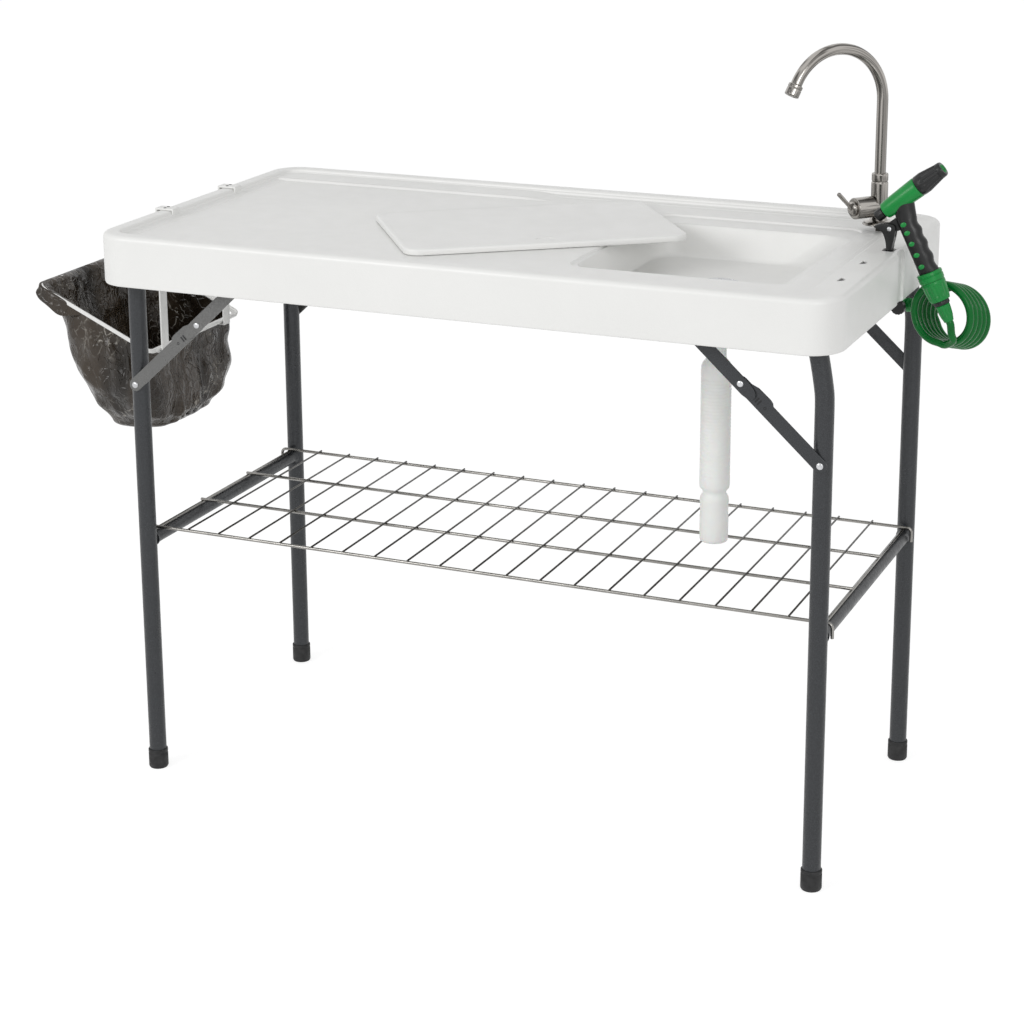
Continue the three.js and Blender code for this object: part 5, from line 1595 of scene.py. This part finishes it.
def ring_share(point):
    """How far a point lies from the ring's outer side towards the table."""
    return (point.x - TABLE_X - RING_OUTER_X) / (RING_INNER_X - RING_OUTER_X)


def mouth_z(point):
    return RING_OUTER_Z + (RING_INNER_Z - RING_OUTER_Z) * ring_share(point)


def bag_outline(outer=0, inner=0, width=1, drop=0, grow=0.0):
    inset = RING_BAR + 0.0015 - grow
    reach = RING_INNER_X - RING_OUTER_X - 2 * RING_BAR
    half = (RING_HALF_WIDTH - inset) * width
    rect = (RING_OUTER_X + inset + outer * reach, RING_INNER_X - inset - inner * reach, -half, half)
    return ring(rect, 0.016 + 0.055 * drop, 0, 7, 20)


def bag_level(drop, form):
    """Crumpled outline of the bag at a share of its drop."""
    low, high = next(pair for pair in zip(BAG_LEVELS, BAG_LEVELS[1:]) if drop <= pair[1][0])
    shares = between(low[1:], high[1:], ease((drop - low[0]) / (high[0] - low[0])))
    points = bag_outline(*shares, drop)
    middle = sum(points, Vector()) / len(points)
    for point in points:
        top = mouth_z(point) + 0.004
        point.z = top + (BAG_BOTTOM_Z - top) * drop
    return [crumpled(point, middle, drop, form.crease) for point in points]


def crumpled(point, middle, drop, crease):
    """Moves a point in or out with pleats that start at the ring and creases further down."""
    out = Vector((point.x - middle.x, point.y - middle.y, 0)).normalized()
    angle = math.atan2(out.y, out.x)
    depth = crease * min(1, drop / 0.2) * (1 if drop < 0.85 else 0.7)
    pleat = noise.noise(Vector((angle * 5.5, drop * 0.9, 3)))
    fold = 1 - abs(noise.noise(Vector((angle * 3.1 + drop * 1.3, drop * 3.4, 9)))) * 2.6
    small = noise.noise(point * 38)
    moved = point + out * depth * (pleat * 0.75 + fold * 0.35 - 0.2 + small * 0.3)
    moved.z += depth * 0.5 * noise.noise(point * 20 + Vector((5, 5, 5)))
    return moved


def cuff_rings(form):
    """Film from the hem outside, up over the ring's outer part and down to the bag's mouth."""
    rings = []
    for share in (1 - step / 8 for step in range(9)):
        pairs = zip(bag_outline(), bag_outline(grow=RING_BAR + 0.004 + 0.003 * share))
        rings.append([cuff_point(inner, outer, share, form) for inner, outer in pairs])
    for over, rise in ((1, 0.0046), (0.5, 0.0056), (0, 0.004)):
        points = []
        for inner, outer in zip(bag_outline(), bag_outline(grow=RING_BAR + 0.002)):
            cover = covered(inner)
            point = inner.lerp(outer, over * cover)
            lift = rise if cover > 0.5 else -0.001 * over
            point.z = mouth_z(point) + lift + 0.0008 * noise.noise(point * 60)
            points.append(point)
        rings.append(points)
    return rings


def cuff_point(inner, outer, share, form):
    cover = covered(inner)
    point = inner.lerp(outer, cover)
    ripple = noise.noise(Vector((point.x * 26, point.y * 26, share * 2)))
    out = 0.003 * ripple * (0.4 + share) * cover
    wave = 0.006 * noise.noise(Vector((point.y * 17, point.x * 17, 7)))
    depth = form.cuff * (0.55 + 0.45 * min(1, max(0, ring_share(point) / 0.26)))
    drop = (depth * cover + 0.004 + wave * cover) * share
    point.z = mouth_z(point) + (0.0035 if cover > 0.5 else 0) - drop
    point.x += math.copysign(out, ring_share(point) - 0.5)
    point.y += math.copysign(out, point.y)
    return point


def covered(point):
    """One over the outer part of the ring, where the film is folded over it, and else none."""
    return 1 - ease((ring_share(point) - 0.24) / 0.16)


OPERATORS = (
    FISHTABLE_OT_stage, FISHTABLE_OT_hoses, FISHTABLE_OT_top, FISHTABLE_OT_drain, FISHTABLE_OT_cover,
    FISHTABLE_OT_legs, FISHTABLE_OT_braces, FISHTABLE_OT_shelf, FISHTABLE_OT_faucet, FISHTABLE_OT_gun,
    FISHTABLE_OT_splitter, FISHTABLE_OT_bag_holder, FISHTABLE_OT_bag,
)
GROUPS = {
    "finishes": FishTableFinishes, "top": FishTableTop, "legs": FishTableLegs, "bag": FishTableBag,
    "stage": FishTableStage,
}


class FISHTABLE_PT_build(bpy.types.Panel):
    """Sizes, colours and the steps that build the table"""
    bl_label = "Fish Cleaning Table"
    bl_space_type = "VIEW_3D"
    bl_region_type = "UI"
    bl_category = "Fish Table"

    def draw(self, context):
        for name, group in GROUPS.items():
            box = self.layout.box()
            box.label(text=name.capitalize())
            for key in group.__annotations__:
                box.prop(settings(name), key)
        for operator in OPERATORS:
            self.layout.operator(operator.bl_idname)


def register():
    for name, group in GROUPS.items():
        bpy.utils.register_class(group)
        setattr(bpy.types.Scene, "fish_table_" + name, PointerProperty(type=group))
    for kind in (*OPERATORS, FISHTABLE_PT_build):
        bpy.utils.register_class(kind)


def unregister():
    for kind in reversed((*OPERATORS, FISHTABLE_PT_build)):
        bpy.utils.unregister_class(kind)
    for name, group in GROUPS.items():
        delattr(bpy.types.Scene, "fish_table_" + name)
        bpy.utils.unregister_class(group)


def main():
    register()
    for operator in OPERATORS:
        group, action = operator.bl_idname.split(".")
        getattr(getattr(bpy.ops, group), action)()


if __name__ == "__main__":
    main()
